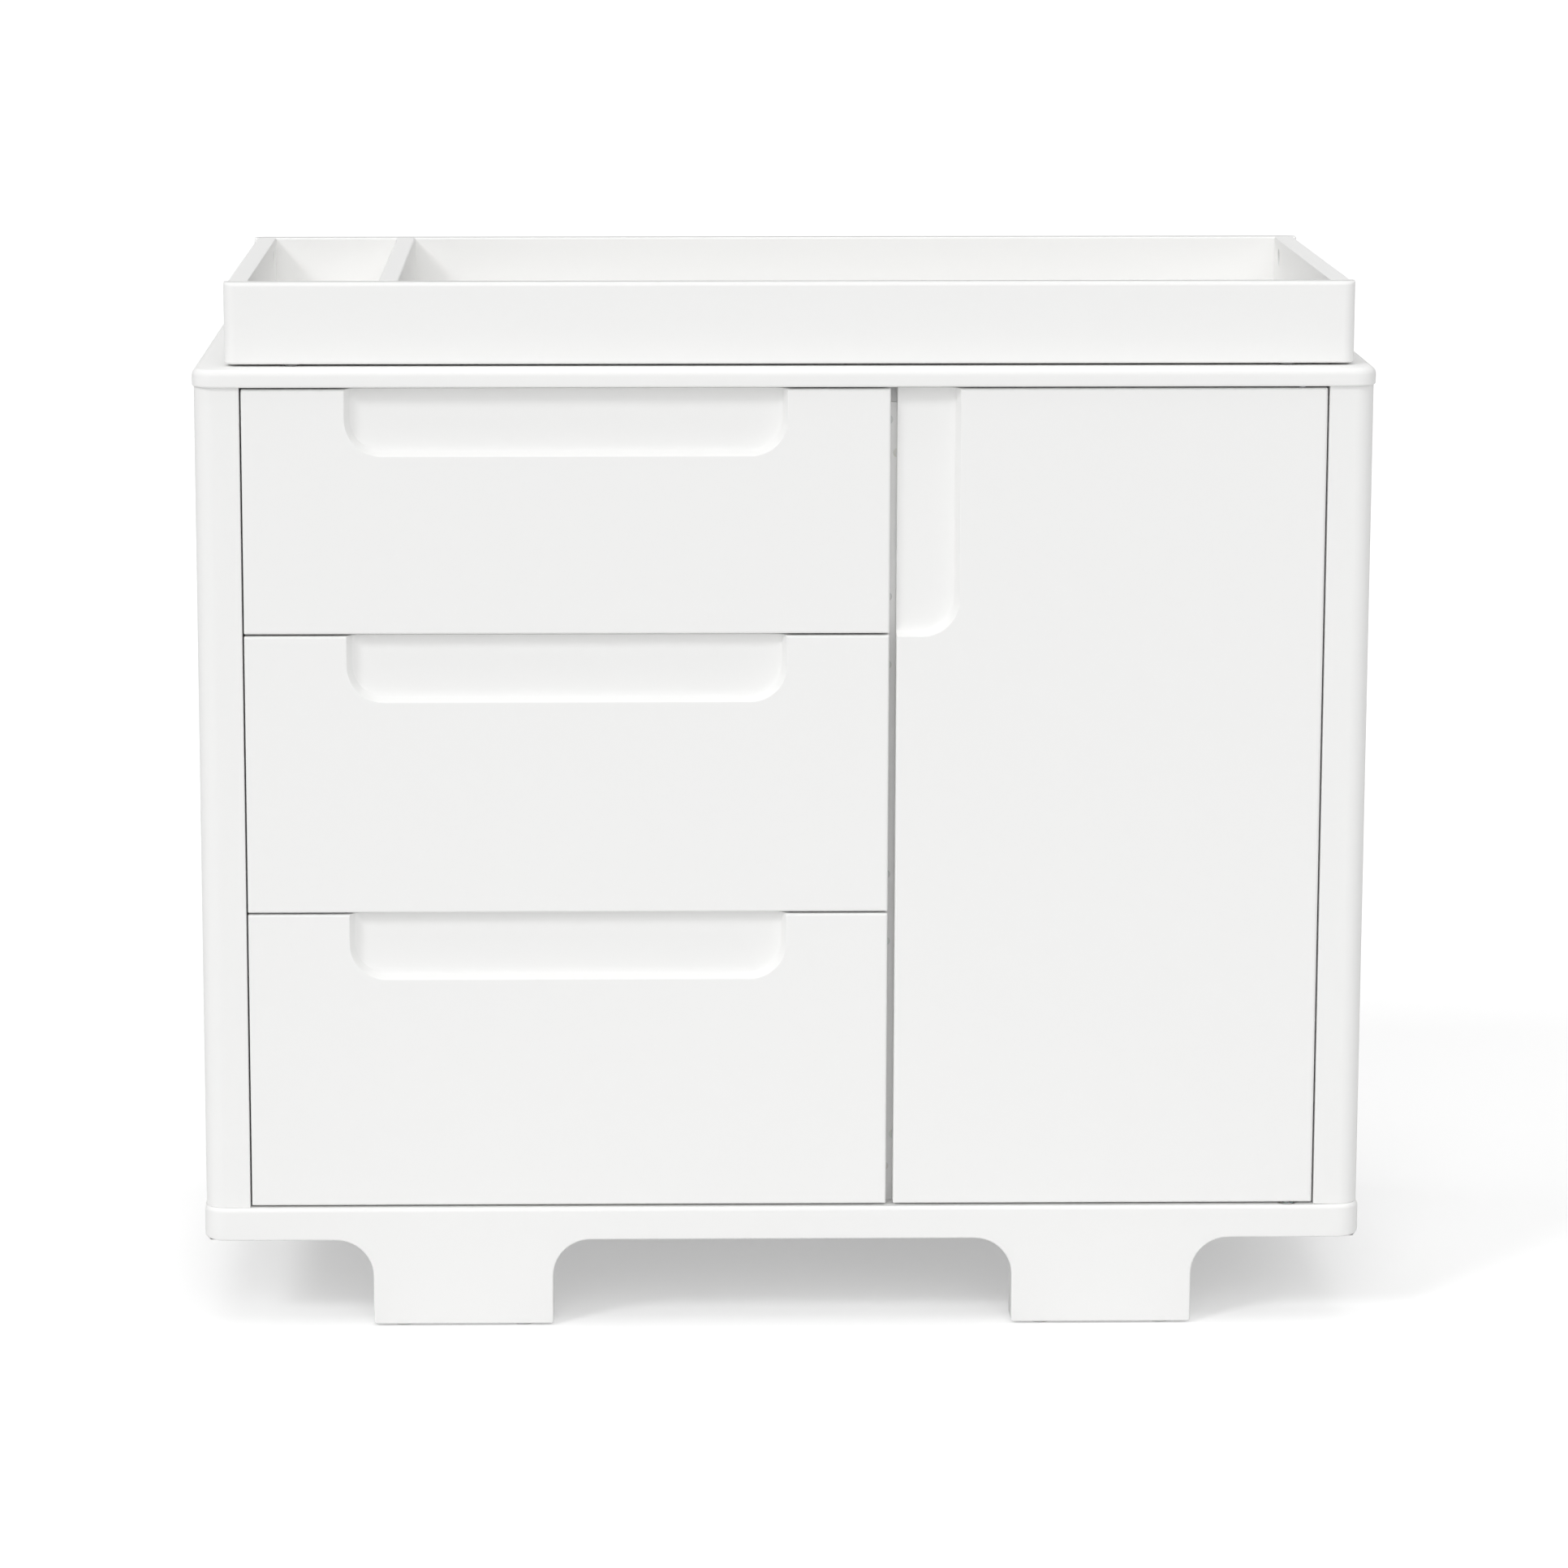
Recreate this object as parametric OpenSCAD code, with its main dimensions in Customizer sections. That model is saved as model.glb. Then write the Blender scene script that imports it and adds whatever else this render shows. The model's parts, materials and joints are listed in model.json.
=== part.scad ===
// Nursery dresser with three drawers, a door and a lift-off changing tray.
// Millimetres. The front faces -Y, +X is to the right and +Z is up.
// The origin is on the floor under the middle of the body.

/* [Overall] */
// Width of the top panel and of the base
overall_w = 1054; // [860:1:1300]
// Depth of the top panel and of the base
overall_d = 500; // [410:1:620]
// Height of the feet below the base band
foot_h = 81; // [60:1:120]
// Height of the base band
base_h = 30; // [24:1:45]
// Height of the opening between the base and the top panel
opening_h = 751; // [640:1:920]
// Thickness of the top panel
top_t = 16; // [14:0.5:30]
// Plan radius at the corners of the top panel and the base
plan_r = 20; // [8:1:26]

/* [Fronts] */
// Width of the door
door_w = 382.5; // [300:0.5:460]
// Height of the top drawer front
top_front_h = 220; // [180:0.5:264]
// Height of the middle drawer front
middle_front_h = 252.5; // [200:0.5:303]
// Thickness of the door and of the drawer fronts
front_t = 20; // [18:0.5:24]
// Gap above, below and between the fronts
front_gap = 2; // [1.5:0.1:4]
// Gap between a front and the post beside it
side_gap = 1.5; // [1.5:0.1:3]
// Gap between the drawer fronts and the door
middle_gap = 6.5; // [3:0.1:10]
// How far the posts and fronts stand back from the edge of the top panel
front_reveal = 4; // [1:0.5:10]

/* [Finger recesses] */
// Margin of drawer front left on each side of its recess
recess_margin = 91.5; // [60:0.5:140]
// Height of the recess in a drawer front
recess_h = 60; // [50:0.5:80]
// Width of the recess in the door
door_recess_w = 56; // [45:0.5:80]
// Height of the recess in the door
door_recess_h = 223; // [120:0.5:300]
// Depth of every recess behind the face of its front
recess_depth = 12; // [8:0.5:14]
// Corner radius of every recess at the face
recess_r = 33; // [28:0.5:40]

/* [Body] */
// Width of a post, seen from the front
post_w = 41; // [30:0.5:50]
// Depth of a post
post_d = 60; // [52:0.5:75]
// Radius of the outer corner of a post
post_r = 18; // [5:0.5:22]
// How far the posts stand in from the sides of the top panel
side_reveal = 1.5; // [0.5:0.5:10]
// Thickness of the partition and of the tray walls
wall_t = 18; // [15:0.5:22]
// Thickness of the side panels, the floor, the rails and the shelves
panel_t = 16; // [12:0.5:22]
// How far a side panel lies in from the outside of its posts
side_panel_inset = 4; // [0:0.5:8]
// Depth of the rails under the top panel
rail_d = 80; // [60:1:110]
// Thickness of the back panels
back_t = 4; // [3:0.5:6]
// Width and depth of the rebate that holds the back panels
rebate = 10; // [8:0.5:14]

/* [Base] */
// Thickness of the boards and rails of the base
base_t = 30; // [26:0.5:40]
// Width of a foot where it meets the floor
foot_w = 164; // [120:1:200]
// Distance from the middle of the base to the middle of a foot
foot_centre = 291; // [240:1:320]
// Radius where a foot runs into the base band
foot_fillet_r = 34; // [15:1:45]

/* [Tray] */
// Height of the tray walls
tray_h = 73; // [60:1:100]
// Gap between the top panel and the tray, filled by the pads
tray_gap = 2; // [1:0.5:5]
// Distance from the side of the top panel to the tray
tray_side_margin = 23; // [10:0.5:50]
// Distance from the front edge of the top panel to the tray
tray_front_margin = 24.5; // [10:0.5:50]
// Distance from the rear edge of the top panel to the tray
tray_rear_margin = 25.5; // [10:0.5:50]
// How far the tray sits to the right of the middle
tray_shift = 5; // [0:0.5:10]
// How far the tray's side walls lie in from the ends of its front wall
tray_wall_inset = 3; // [0:0.5:6]
// Width of the narrow bay beside the pad
side_bay_w = 116.5; // [80:0.5:140]
// Thickness of the tray floor
tray_floor_t = 6; // [4:0.5:10]
// Height of the tray floor above the lower edge of the walls
tray_floor_z = 6; // [4:0.5:12]

/* [Drawer boxes] */
// Thickness of the drawer sides and backs
box_t = 12; // [10:0.5:15]
// Thickness of the drawer bottoms
drawer_floor_t = 4; // [3:0.5:6]
// Depth of the grooves that hold the drawer and tray floors
groove = 5; // [3:0.5:6]
// Drawer front that shows below the sides of its box
box_lift = 22; // [20:0.5:30]
// Drawer front that shows above the sides of its box
box_drop = 48; // [40:0.5:70]
// Free space behind a closed drawer box
box_rear_gap = 20; // [10:1:30]

/* [Hardware] */
// Width that a drawer slide takes between the body and the drawer box
slide_w = 12.7; // [12:0.1:14]
// Height of a drawer slide
slide_h = 45; // [42:0.5:50]
// Thickness of the slide steel
steel_t = 1.2; // [1:0.1:1.5]
// Distance from the edge of the door to its pivot
pivot_in = 22; // [20:0.5:30]
// Distance from the face of the door to its pivot
pivot_back = 9; // [9:0.5:10]
// Radius of the pivot pins
pivot_r = 4; // [3:0.25:4]
// Radius of the bushes round the pivot pins
bush_r = 6; // [5.5:0.25:7]
// Radial clearance between a pivot pin and its bush
pivot_clear = 0.08; // [0.03:0.01:0.1]
// Length of a pivot pin outside the door
pivot_reach = 10; // [6:0.5:12]
// Radius of the cam locks
cam_r = 7.5; // [6:0.25:8]
// Depth of a cam lock socket
cam_depth = 12.5; // [11:0.5:13]
// Radius of the shelf pins
shelf_pin_r = 2.5; // [2:0.25:3.5]
// Radius of the screw holes for the wall strap
strap_hole_r = 2.5; // [2:0.25:3]
// Distance between the screw holes for the wall strap
strap_spacing = 64; // [32:1:96]
// Thickness of the glides under the feet
glide_t = 2; // [1.5:0.5:4]

/* [Hidden] */

$fn = 64;
cut = 1;                 // how far a cutting tool runs past a face

// Heights of the main surfaces
base_z = foot_h;
floor_z = base_z + base_h;
top_z = floor_z + opening_h;
tray_z = top_z + top_t + tray_gap;
rail_z = top_z - panel_t;
inner_z = floor_z + panel_t;

// Planes from front to rear
front_edge_y = -overall_d / 2;
rear_edge_y = overall_d / 2;
face_y = front_edge_y + front_reveal;
front_back_y = face_y + front_t;
body_rear_y = rear_edge_y - front_reveal;
back_y = body_rear_y - rebate;
shadow_gap = 1;          // between the back of a front and the edge of the partition
rail_front_y = front_back_y + 3 * shadow_gap;

// Planes from left to right
body_x = overall_w / 2 - side_reveal;
inner_x = body_x - post_w;
panel_x = body_x - side_panel_inset;
door_x1 = inner_x - side_gap;
door_x0 = door_x1 - door_w;
drawer_x0 = -inner_x + side_gap;
drawer_x1 = door_x0 - middle_gap;
partition_x = (door_x0 + drawer_x1) / 2;
bay_x0 = -inner_x;
bay_x1 = partition_x - wall_t / 2;
cupboard_x0 = partition_x + wall_t / 2;

// Drawer fronts, from the floor of the opening upwards: [lower edge, upper edge]
bottom_front_h = opening_h - 4 * front_gap - top_front_h - middle_front_h;
bottom_z = floor_z + front_gap;
middle_z = bottom_z + bottom_front_h + front_gap;
upper_z = middle_z + middle_front_h + front_gap;
fronts_top_z = top_z - front_gap;

// Drawer boxes
box_x0 = bay_x0 + slide_w;
box_x1 = bay_x1 - slide_w;
box_rear_y = back_y - box_rear_gap;
floor_lift = 10;         // drawer bottom above the lower edge of the box sides
slide_lift = 45;         // middle of a slide above the lower edge of the box sides
slide_front_gap = 4;     // slide behind the back of the front
slide_y0 = front_back_y + slide_front_gap;
slide_y1 = box_rear_y - slide_front_gap;
slide_screw_inset = 24;  // screw from the end of a slide

// Door pivots
pivot_x = door_x1 - pivot_in;
pivot_y = face_y + pivot_back;
pivot_sink = 30;         // length of a pivot pin inside the door
edge_sweep_gap = 1.5;    // room round the edge of the door beside its pivots
bush_t = pivot_reach + 2;
edge_sweep_r = norm([pivot_in, front_t - pivot_back]) + edge_sweep_gap;

// Shelves
shelf_side_gap = 1;
shelf_post_lap = 14;     // shelf in front of the rear face of the front posts
shelf_y0 = -body_rear_y + post_d - shelf_post_lap;
shelf_y1 = back_y - 2;
shelf_pin_in = 8;        // middle of a shelf pin from the inner edge of its post
shelf_pin_len = 8;       // length of a shelf pin on each side of the wall face
shelf_pitch = (rail_z - inner_z - 2 * panel_t) / 3;
lower_shelf_z = inner_z + shelf_pitch;
upper_shelf_z = lower_shelf_z + panel_t + shelf_pitch;

// Tray
tray_x0 = -overall_w / 2 + tray_side_margin + tray_shift;
tray_x1 = overall_w / 2 - tray_side_margin + tray_shift;
tray_y0 = front_edge_y + tray_front_margin;
tray_y1 = rear_edge_y - tray_rear_margin;
tray_top_z = tray_z + tray_h;
tray_wall_x0 = tray_x0 + tray_wall_inset;
tray_wall_x1 = tray_x1 - tray_wall_inset;
tray_inner_x0 = tray_wall_x0 + wall_t;
tray_inner_x1 = tray_wall_x1 - wall_t;
tray_inner_y0 = tray_y0 + wall_t;
tray_inner_y1 = tray_y1 - wall_t;
divider_x = tray_inner_x0 + side_bay_w;
tray_floor_z0 = tray_z + tray_floor_z;
tray_floor_z1 = tray_floor_z0 + tray_floor_t;
tray_corner_r = 11;
tray_cam_in = 32;        // middle of a tray cam from the nearer end wall
tray_cam_down = 17;      // middle of a tray cam below the top of its wall
cam_clear = 0.2;         // radial gap round a cam
cam_sink = 1.5;          // face of a cam below the surface

white = "#f4f4f2";
inside_white = "#e9e9e6";
steel = "#b9bcc0";
zinc = "#9a9da0";
plastic = "#d8d8d4";
felt = "#b8b4ac";

// ---------------------------------------------------------------- shared shapes

// A box given by its lowest and highest corners
module block(lo, hi) {
    translate(lo) cube(hi - lo);
}

// A flat panel with rounded corners in plan
module rounded_slab(lo, hi, r) {
    translate([0, 0, lo[2]])
        linear_extrude(hi[2] - lo[2]) {
            translate([lo[0] + r, lo[1]]) square([hi[0] - lo[0] - 2 * r, hi[1] - lo[1]]);
            translate([lo[0], lo[1] + r]) square([hi[0] - lo[0], hi[1] - lo[1] - 2 * r]);
            for (x = [lo[0] + r, hi[0] - r], y = [lo[1] + r, hi[1] - r])
                translate([x, y]) circle(r);
        }
}

// A rod along Y whose middle line starts at a point
module rod_y(at, r, length) {
    translate(at) rotate([-90, 0, 0]) cylinder(r = r, h = length);
}

// A rod along X whose middle line starts at a point
module rod_x(at, r, length) {
    translate(at) rotate([0, 90, 0]) cylinder(r = r, h = length);
}

// Right half of a coved recess: x runs from 0, z hangs down from 0 and the face is at y = 0.
// lead carries it past x = 0, and rise carries it past z = 0.
module half_recess(w, h, lead = 0, rise = cut) {
    step = 0.5;
    cove = recess_depth - step;
    inset = cove - step;
    // Flat floor, whose corner follows the bend
    block([-lead, -cut, -h + recess_r], [w - inset, recess_depth, rise]);
    block([-lead, -cut, -h + inset], [w - recess_r, recess_depth, -h + recess_r]);
    translate([w - recess_r, 0, -h + recess_r])
        intersection() {
            rod_y([0, -cut, 0], recess_r - inset, recess_depth + cut);
            block([0, -2 * cut, -recess_r], [recess_r, 2 * recess_depth, 0]);
        }
    // Coves along the lower edge and the side, and round the corner between them
    rod_x([-lead, 0, -h + cove], cove, w - recess_r + lead);
    translate([w - cove, 0, -h + recess_r]) cylinder(r = cove, h = h - recess_r + rise);
    translate([w - recess_r, 0, -h + recess_r])
        rotate([90, 0, 0]) rotate([0, 0, -90])
            rotate_extrude(angle = 90) translate([recess_r - cove, 0]) circle(cove);
}

// ---------------------------------------------------------------- base

// Band with two feet, from y0 at the front to y1
module base_board(y0, y1) {
    intersection() {
        union() {
            block([-overall_w / 2, y0, base_z], [overall_w / 2, y1, floor_z]);
            for (side = [-1, 1])
                translate([side * foot_centre, y0, 0]) foot(y1 - y0);
        }
        base_plan();
    }
}

// One foot with a hollow fillet on each side, standing at x = 0
module foot(thickness) {
    half = foot_w / 2;
    block([-half, 0, glide_t], [half, thickness, base_z]);
    for (side = [0, 1])
        mirror([side, 0, 0])
            difference() {
                block([half, 0, base_z - foot_fillet_r], [half + foot_fillet_r, thickness, base_z]);
                rod_y([half + foot_fillet_r, -cut, base_z - foot_fillet_r], foot_fillet_r,
                      thickness + 2 * cut);
            }
}

// Outline that the whole base stays inside
module base_plan() {
    rounded_slab([-overall_w / 2, front_edge_y, 0], [overall_w / 2, rear_edge_y, floor_z], plan_r);
}

module base_front_board() {
    color(white)
        difference() {
            base_board(front_edge_y, front_edge_y + base_t);
            translate([pivot_x, pivot_y, floor_z - bush_t]) cylinder(r = bush_r, h = bush_t + cut);
        }
}

module base_rear_board() {
    color(white) base_board(rear_edge_y - base_t, rear_edge_y);
}

module base_side_rail(side) {
    color(white)
        mirror([side, 0, 0])
            block([overall_w / 2 - base_t, front_edge_y + base_t, base_z],
                  [overall_w / 2, rear_edge_y - base_t, floor_z]);
}

module base_cross_rail() {
    color(white)
        block([partition_x - base_t / 2, front_edge_y + base_t, base_z],
              [partition_x + base_t / 2, rear_edge_y - base_t, floor_z]);
}

module foot_glides() {
    glide_r = 11;
    color(plastic)
        for (side = [-1, 1], part = [-1, 1], y = [front_edge_y + base_t / 2, rear_edge_y - base_t / 2])
            translate([side * foot_centre + part * foot_w / 3, y, 0]) cylinder(r = glide_r, h = glide_t);
}

// ---------------------------------------------------------------- body

// A post at x, y > 0 with its outer corner rounded, and a rebate if it takes a back panel
module post(rebated) {
    y1 = body_rear_y;
    difference() {
        translate([0, 0, floor_z])
            linear_extrude(opening_h) {
                translate([inner_x, y1 - post_d]) square([post_w - post_r, post_d]);
                translate([inner_x, y1 - post_d]) square([post_w, post_d - post_r]);
                translate([body_x - post_r, y1 - post_r]) circle(post_r);
            }
        if (rebated)
            block([inner_x - cut, back_y, floor_z - cut], [inner_x + rebate, y1 + cut, top_z + cut]);
    }
}

module front_post(side) {
    color(white)
        difference() {
            mirror([side, 0, 0]) mirror([0, 1, 0]) post(false);
            if (side == 0)
                shelf_pin_holes();
        }
}

module rear_post(side) {
    color(white)
        difference() {
            mirror([side, 0, 0]) post(true);
            if (side == 0)
                shelf_pin_holes();
        }
}

module side_panel(side) {
    color(white)
        mirror([side, 0, 0])
            block([panel_x - panel_t, -body_rear_y + post_d, floor_z],
                  [panel_x, body_rear_y - post_d, top_z]);
}

module bottom_panel() {
    color(white)
        difference() {
            union() {
                block([-inner_x, front_back_y + shadow_gap, floor_z], [inner_x, back_y, inner_z]);
                for (side = [0, 1])
                    mirror([side, 0, 0])
                        block([inner_x, -body_rear_y + post_d, floor_z],
                              [panel_x - panel_t, body_rear_y - post_d, inner_z]);
            }
            edge_sweep();
        }
}

// Room behind the pivots for the edge of the door, which swings inwards as the door opens
module edge_sweep() {
    block([pivot_x - edge_sweep_r, front_back_y, floor_z - cut],
          [inner_x + cut, pivot_y + edge_sweep_r, top_z + cut]);
}

module partition() {
    color(white)
        difference() {
            block([bay_x1, front_back_y + shadow_gap, inner_z], [cupboard_x0, back_y, rail_z]);
            shelf_pin_holes();
        }
}

// A rail under the top panel, from y0 to y1, with two cam sockets in each end
module rail(y0, y1) {
    color(white)
        difference() {
            block([-inner_x, y0, rail_z], [inner_x, y1, top_z]);
            for (at = cam_places(y0, y1))
                translate([at[0], at[1], rail_z - cut]) cylinder(r = cam_r + cam_clear, h = cam_depth + cut);
            strap_holes();
            edge_sweep();
        }
}

// Where the cams of a rail are, in plan
function cam_places(y0, y1) =
    let (in = 34, from_edge = 18)
    [for (side = [-1, 1], y = [y0 + from_edge, y1 - from_edge]) [side * (inner_x - in), y]];

module body_cams() {
    color(zinc)
        for (at = concat(cam_places(rail_front_y, rail_front_y + rail_d), cam_places(back_y - rail_d, back_y)))
            translate([at[0], at[1], rail_z + cam_sink]) cylinder(r = cam_r, h = cam_depth - cam_sink);
}

// Screw holes for a strap that holds the body to a wall
module strap_holes() {
    depth = 30;
    for (side = [-1, 1])
        rod_y([side * strap_spacing / 2, back_y - depth, (rail_z + top_z) / 2], strap_hole_r, depth + back_t + cut);
}

// A back panel from x0 to x1
module back_panel(x0, x1) {
    color(inside_white)
        difference() {
            block([x0, back_y, floor_z], [x1, back_y + back_t, top_z]);
            strap_holes();
            for (at = back_screw_places(x0, x1))
                rod_y([at[0], back_y - cut, at[1]], back_screw_r, back_t + 2 * cut);
        }
}

back_joint = 0.5;        // half the joint between the two back panels
back_screw_r = 1.75;
left_back_x = [-inner_x - rebate, partition_x - back_joint];
right_back_x = [partition_x + back_joint, inner_x + rebate];

// Screws down both long edges of a back panel
function back_screw_places(x0, x1) =
    let (edge = 5, ends = 40, count = 5)
    [for (x = [x0 + edge, x1 - edge], i = [0 : count - 1])
        [x, floor_z + ends + i * (opening_h - 2 * ends) / (count - 1)]];

module back_screws() {
    head_r = 3.5;
    head_t = 2;
    color(zinc)
        for (at = concat(back_screw_places(left_back_x[0], left_back_x[1]),
                         back_screw_places(right_back_x[0], right_back_x[1]))) {
            rod_y([at[0], back_y, at[1]], back_screw_r - 0.1, back_t);
            rod_y([at[0], back_y + back_t, at[1]], head_r, head_t);
        }
}

module top_panel() {
    color(white)
        difference() {
            rounded_slab([-overall_w / 2, front_edge_y, top_z], [overall_w / 2, rear_edge_y, top_z + top_t], plan_r);
            translate([pivot_x, pivot_y, top_z - cut]) cylinder(r = bush_r, h = bush_t + cut);
        }
}

// ---------------------------------------------------------------- cupboard

module shelf(z) {
    color(inside_white)
        block([cupboard_x0 + shelf_side_gap, shelf_y0, z], [inner_x - shelf_side_gap, shelf_y1, z + panel_t]);
}

// Each place is the point on a wall where a shelf pin goes in: [x, y, z]
shelf_pin_places = [
    for (x = [cupboard_x0, inner_x], y = [-1, 1], z = [lower_shelf_z, upper_shelf_z])
        [x, y * (body_rear_y - post_d + shelf_pin_in), z - shelf_pin_r]
];

module shelf_pin_holes() {
    for (at = shelf_pin_places)
        rod_x(at - [shelf_pin_len + 1, 0, 0], shelf_pin_r, 2 * shelf_pin_len + 2);
}

module shelf_pins() {
    fit = 0.05;
    color(steel)
        for (at = shelf_pin_places)
            rod_x(at - [shelf_pin_len, 0, 0], shelf_pin_r - fit, 2 * shelf_pin_len);
}

// Bushes in the base and in the top panel, each closed at its far end
module pivot_bushes() {
    cap = 1;
    color(plastic)
        for (z = [floor_z - bush_t, top_z])
            translate([pivot_x, pivot_y, z])
                difference() {
                    cylinder(r = bush_r, h = bush_t);
                    translate([0, 0, z < top_z ? cap : -cut])
                        cylinder(r = pivot_r + pivot_clear, h = bush_t - cap + cut);
                }
}

module door() {
    color(white)
        difference() {
            block([door_x0, face_y, bottom_z], [door_x1, front_back_y, fronts_top_z]);
            translate([door_x0, face_y, fronts_top_z]) half_recess(door_recess_w, door_recess_h, cut);
            for (z = [bottom_z - cut, fronts_top_z - pivot_sink])
                translate([pivot_x, pivot_y, z]) cylinder(r = pivot_r, h = pivot_sink + cut);
            round_over([door_x1, face_y], bottom_z, fronts_top_z);
        }
}

// Tool that rounds the upright front edge of the door beside its pivots
module round_over(edge, z0, z1) {
    arris = 3;
    translate([edge[0] - arris, edge[1] + arris, z0 - cut])
        difference() {
            translate([0, -arris - cut, 0]) cube([arris + cut, arris + cut, z1 - z0 + 2 * cut]);
            translate([0, 0, -cut]) cylinder(r = arris, h = z1 - z0 + 4 * cut);
        }
}

module door_pivots() {
    color(steel) {
        translate([pivot_x, pivot_y, floor_z - pivot_reach + front_gap])
            cylinder(r = pivot_r, h = pivot_sink + pivot_reach);
        translate([pivot_x, pivot_y, fronts_top_z - pivot_sink])
            cylinder(r = pivot_r, h = pivot_sink + pivot_reach);
    }
}

catch_size = [14, 40, 12];
catch_down = 60;         // catch below the rails
catch_gap = 0.3;
strike_t = 1.2;

module door_catch() {
    y0 = front_back_y + strike_t + catch_gap;
    color(plastic)
        block([cupboard_x0, y0, rail_z - catch_down - catch_size[2]],
              [cupboard_x0 + catch_size[0], y0 + catch_size[1], rail_z - catch_down]);
}

module door_strike() {
    rim = 5;
    color(steel)
        block([cupboard_x0 + 1, front_back_y, rail_z - catch_down - catch_size[2] - rim],
              [cupboard_x0 + catch_size[0] + 1, front_back_y + strike_t, rail_z - catch_down + rim]);
}

module bumpers() {
    bumper_r = 4;
    bumper_t = 0.8;
    inset = 30;
    left = bay_x1 + bumper_r + 1;
    right = cupboard_x0 - bumper_r - 1;
    color(plastic) {
        for (span = drawer_spans, z = [span[0] + inset, span[1] - inset])
            rod_y([left, front_back_y + shadow_gap - bumper_t, z], bumper_r, bumper_t);
        for (z = [bottom_z + 2 * inset, fronts_top_z - 2 * inset])
            rod_y([right, front_back_y + shadow_gap - bumper_t, z], bumper_r, bumper_t);
    }
}

// ---------------------------------------------------------------- drawers

// Lower and upper edge of each front, from the top drawer down
drawer_spans = [
    [upper_z, fronts_top_z],
    [middle_z, middle_z + middle_front_h],
    [bottom_z, bottom_z + bottom_front_h]
];

module drawer_front(span) {
    w = drawer_x1 - drawer_x0;
    color(white)
        difference() {
            block([drawer_x0, face_y, span[0]], [drawer_x1, front_back_y, span[1]]);
            translate([(drawer_x0 + drawer_x1) / 2, face_y, span[1]])
                for (side = [0, 1])
                    mirror([side, 0, 0]) half_recess(w / 2 - recess_margin, recess_h);
        }
}

function box_low(span) = span[0] + box_lift;
function box_high(span) = span[1] - box_drop;
function slide_z(span) = box_low(span) + slide_lift;

module drawer_sides(span) {
    color(inside_white)
        difference() {
            union() {
                block([box_x0, front_back_y, box_low(span)], [box_x0 + box_t, box_rear_y, box_high(span)]);
                block([box_x1 - box_t, front_back_y, box_low(span)], [box_x1, box_rear_y, box_high(span)]);
            }
            drawer_floor(span, cut);
        }
}

module drawer_back(span) {
    color(inside_white)
        difference() {
            block([box_x0 + box_t, box_rear_y - box_t, box_low(span)], [box_x1 - box_t, box_rear_y, box_high(span)]);
            drawer_floor(span, 0);
        }
}

// The floor of a drawer; past carries it forwards as a tool for the grooves
module drawer_floor(span, past) {
    z = box_low(span) + floor_lift;
    block([box_x0 + box_t - groove, front_back_y - past, z],
          [box_x1 - box_t + groove, box_rear_y - box_t + groove, z + drawer_floor_t]);
}

module drawer_bottom(span) {
    color(inside_white) drawer_floor(span, 0);
}

// A channel along Y against a wall at x = 0: its web at web_x, its lips reaching lips_x
module channel(web_x, lips_x, half_h) {
    block([web_x, slide_y0, -half_h], [web_x + steel_t, slide_y1, half_h]);
    for (z = [-half_h, half_h - steel_t])
        block([min(web_x, lips_x), slide_y0, z], [max(web_x + steel_t, lips_x), slide_y1, z + steel_t]);
}

// Puts a piece of slide on both sides of the drawer bay, at one height
module both_sides(z) {
    translate([bay_x0, 0, z]) children();
    translate([bay_x1, 0, z]) mirror([1, 0, 0]) children();
}

// Each member of a slide lies inside the one before it, with room for the balls between them
body_member_lips = 9;
middle_member_x = 4.5;
middle_member_lips = slide_w - 2.5;
middle_member_half = slide_h / 2 - 5;
drawer_member_lips = slide_w - 5.5;
drawer_member_half = slide_h / 2 - 11;

module slide_body_members() {
    color(steel)
        for (span = drawer_spans)
            both_sides(slide_z(span)) channel(0, body_member_lips, slide_h / 2);
}

module middle_members(span) {
    color(steel)
        both_sides(slide_z(span)) channel(middle_member_x, middle_member_lips, middle_member_half);
}

module drawer_members(span) {
    color(steel)
        both_sides(slide_z(span)) channel(slide_w - steel_t, drawer_member_lips, drawer_member_half);
}

// Heads of the screws that hold the slides to the body
module slide_screws() {
    head_r = 3.5;
    head_t = 1.5;
    color(zinc)
        for (span = drawer_spans, y = [slide_y0 + slide_screw_inset, slide_y1 - slide_screw_inset])
            both_sides(slide_z(span)) rod_x([steel_t, y, 0], head_r, head_t);
}

// ---------------------------------------------------------------- tray

// Socket centres on the inner faces of the tray's side walls: [y, z]
tray_cam_places = [
    for (y = [tray_inner_y0 + tray_cam_in, tray_inner_y1 - tray_cam_in])
        [y, tray_top_z - tray_cam_down]
];

// The tray floor, which also cuts the grooves that hold it
module floor_sheet() {
    block([tray_inner_x0 - groove, tray_inner_y0 - groove, tray_floor_z0],
          [tray_inner_x1 + groove, tray_inner_y1 + groove, tray_floor_z1]);
}

// Outline that the whole tray stays inside
module tray_plan() {
    rounded_slab([tray_x0, tray_y0, tray_z], [tray_x1, tray_y1, tray_top_z], tray_corner_r);
}

// A full-width wall from y0 to y1
module end_wall(y0, y1) {
    color(white)
        difference() {
            intersection() {
                block([tray_x0, y0, tray_z], [tray_x1, y1, tray_top_z]);
                tray_plan();
            }
            floor_sheet();
        }
}

// A side wall from x0, with sockets cut from socket_x
module side_wall(x0, socket_x) {
    color(white)
        difference() {
            block([x0, tray_inner_y0, tray_z], [x0 + wall_t, tray_inner_y1, tray_top_z]);
            floor_sheet();
            for (at = tray_cam_places)
                rod_x([socket_x, at[0], at[1]], cam_r + cam_clear, cam_depth + cut);
        }
}

module tray_divider() {
    color(white)
        block([divider_x, tray_inner_y0, tray_floor_z1], [divider_x + wall_t, tray_inner_y1, tray_top_z]);
}

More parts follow.
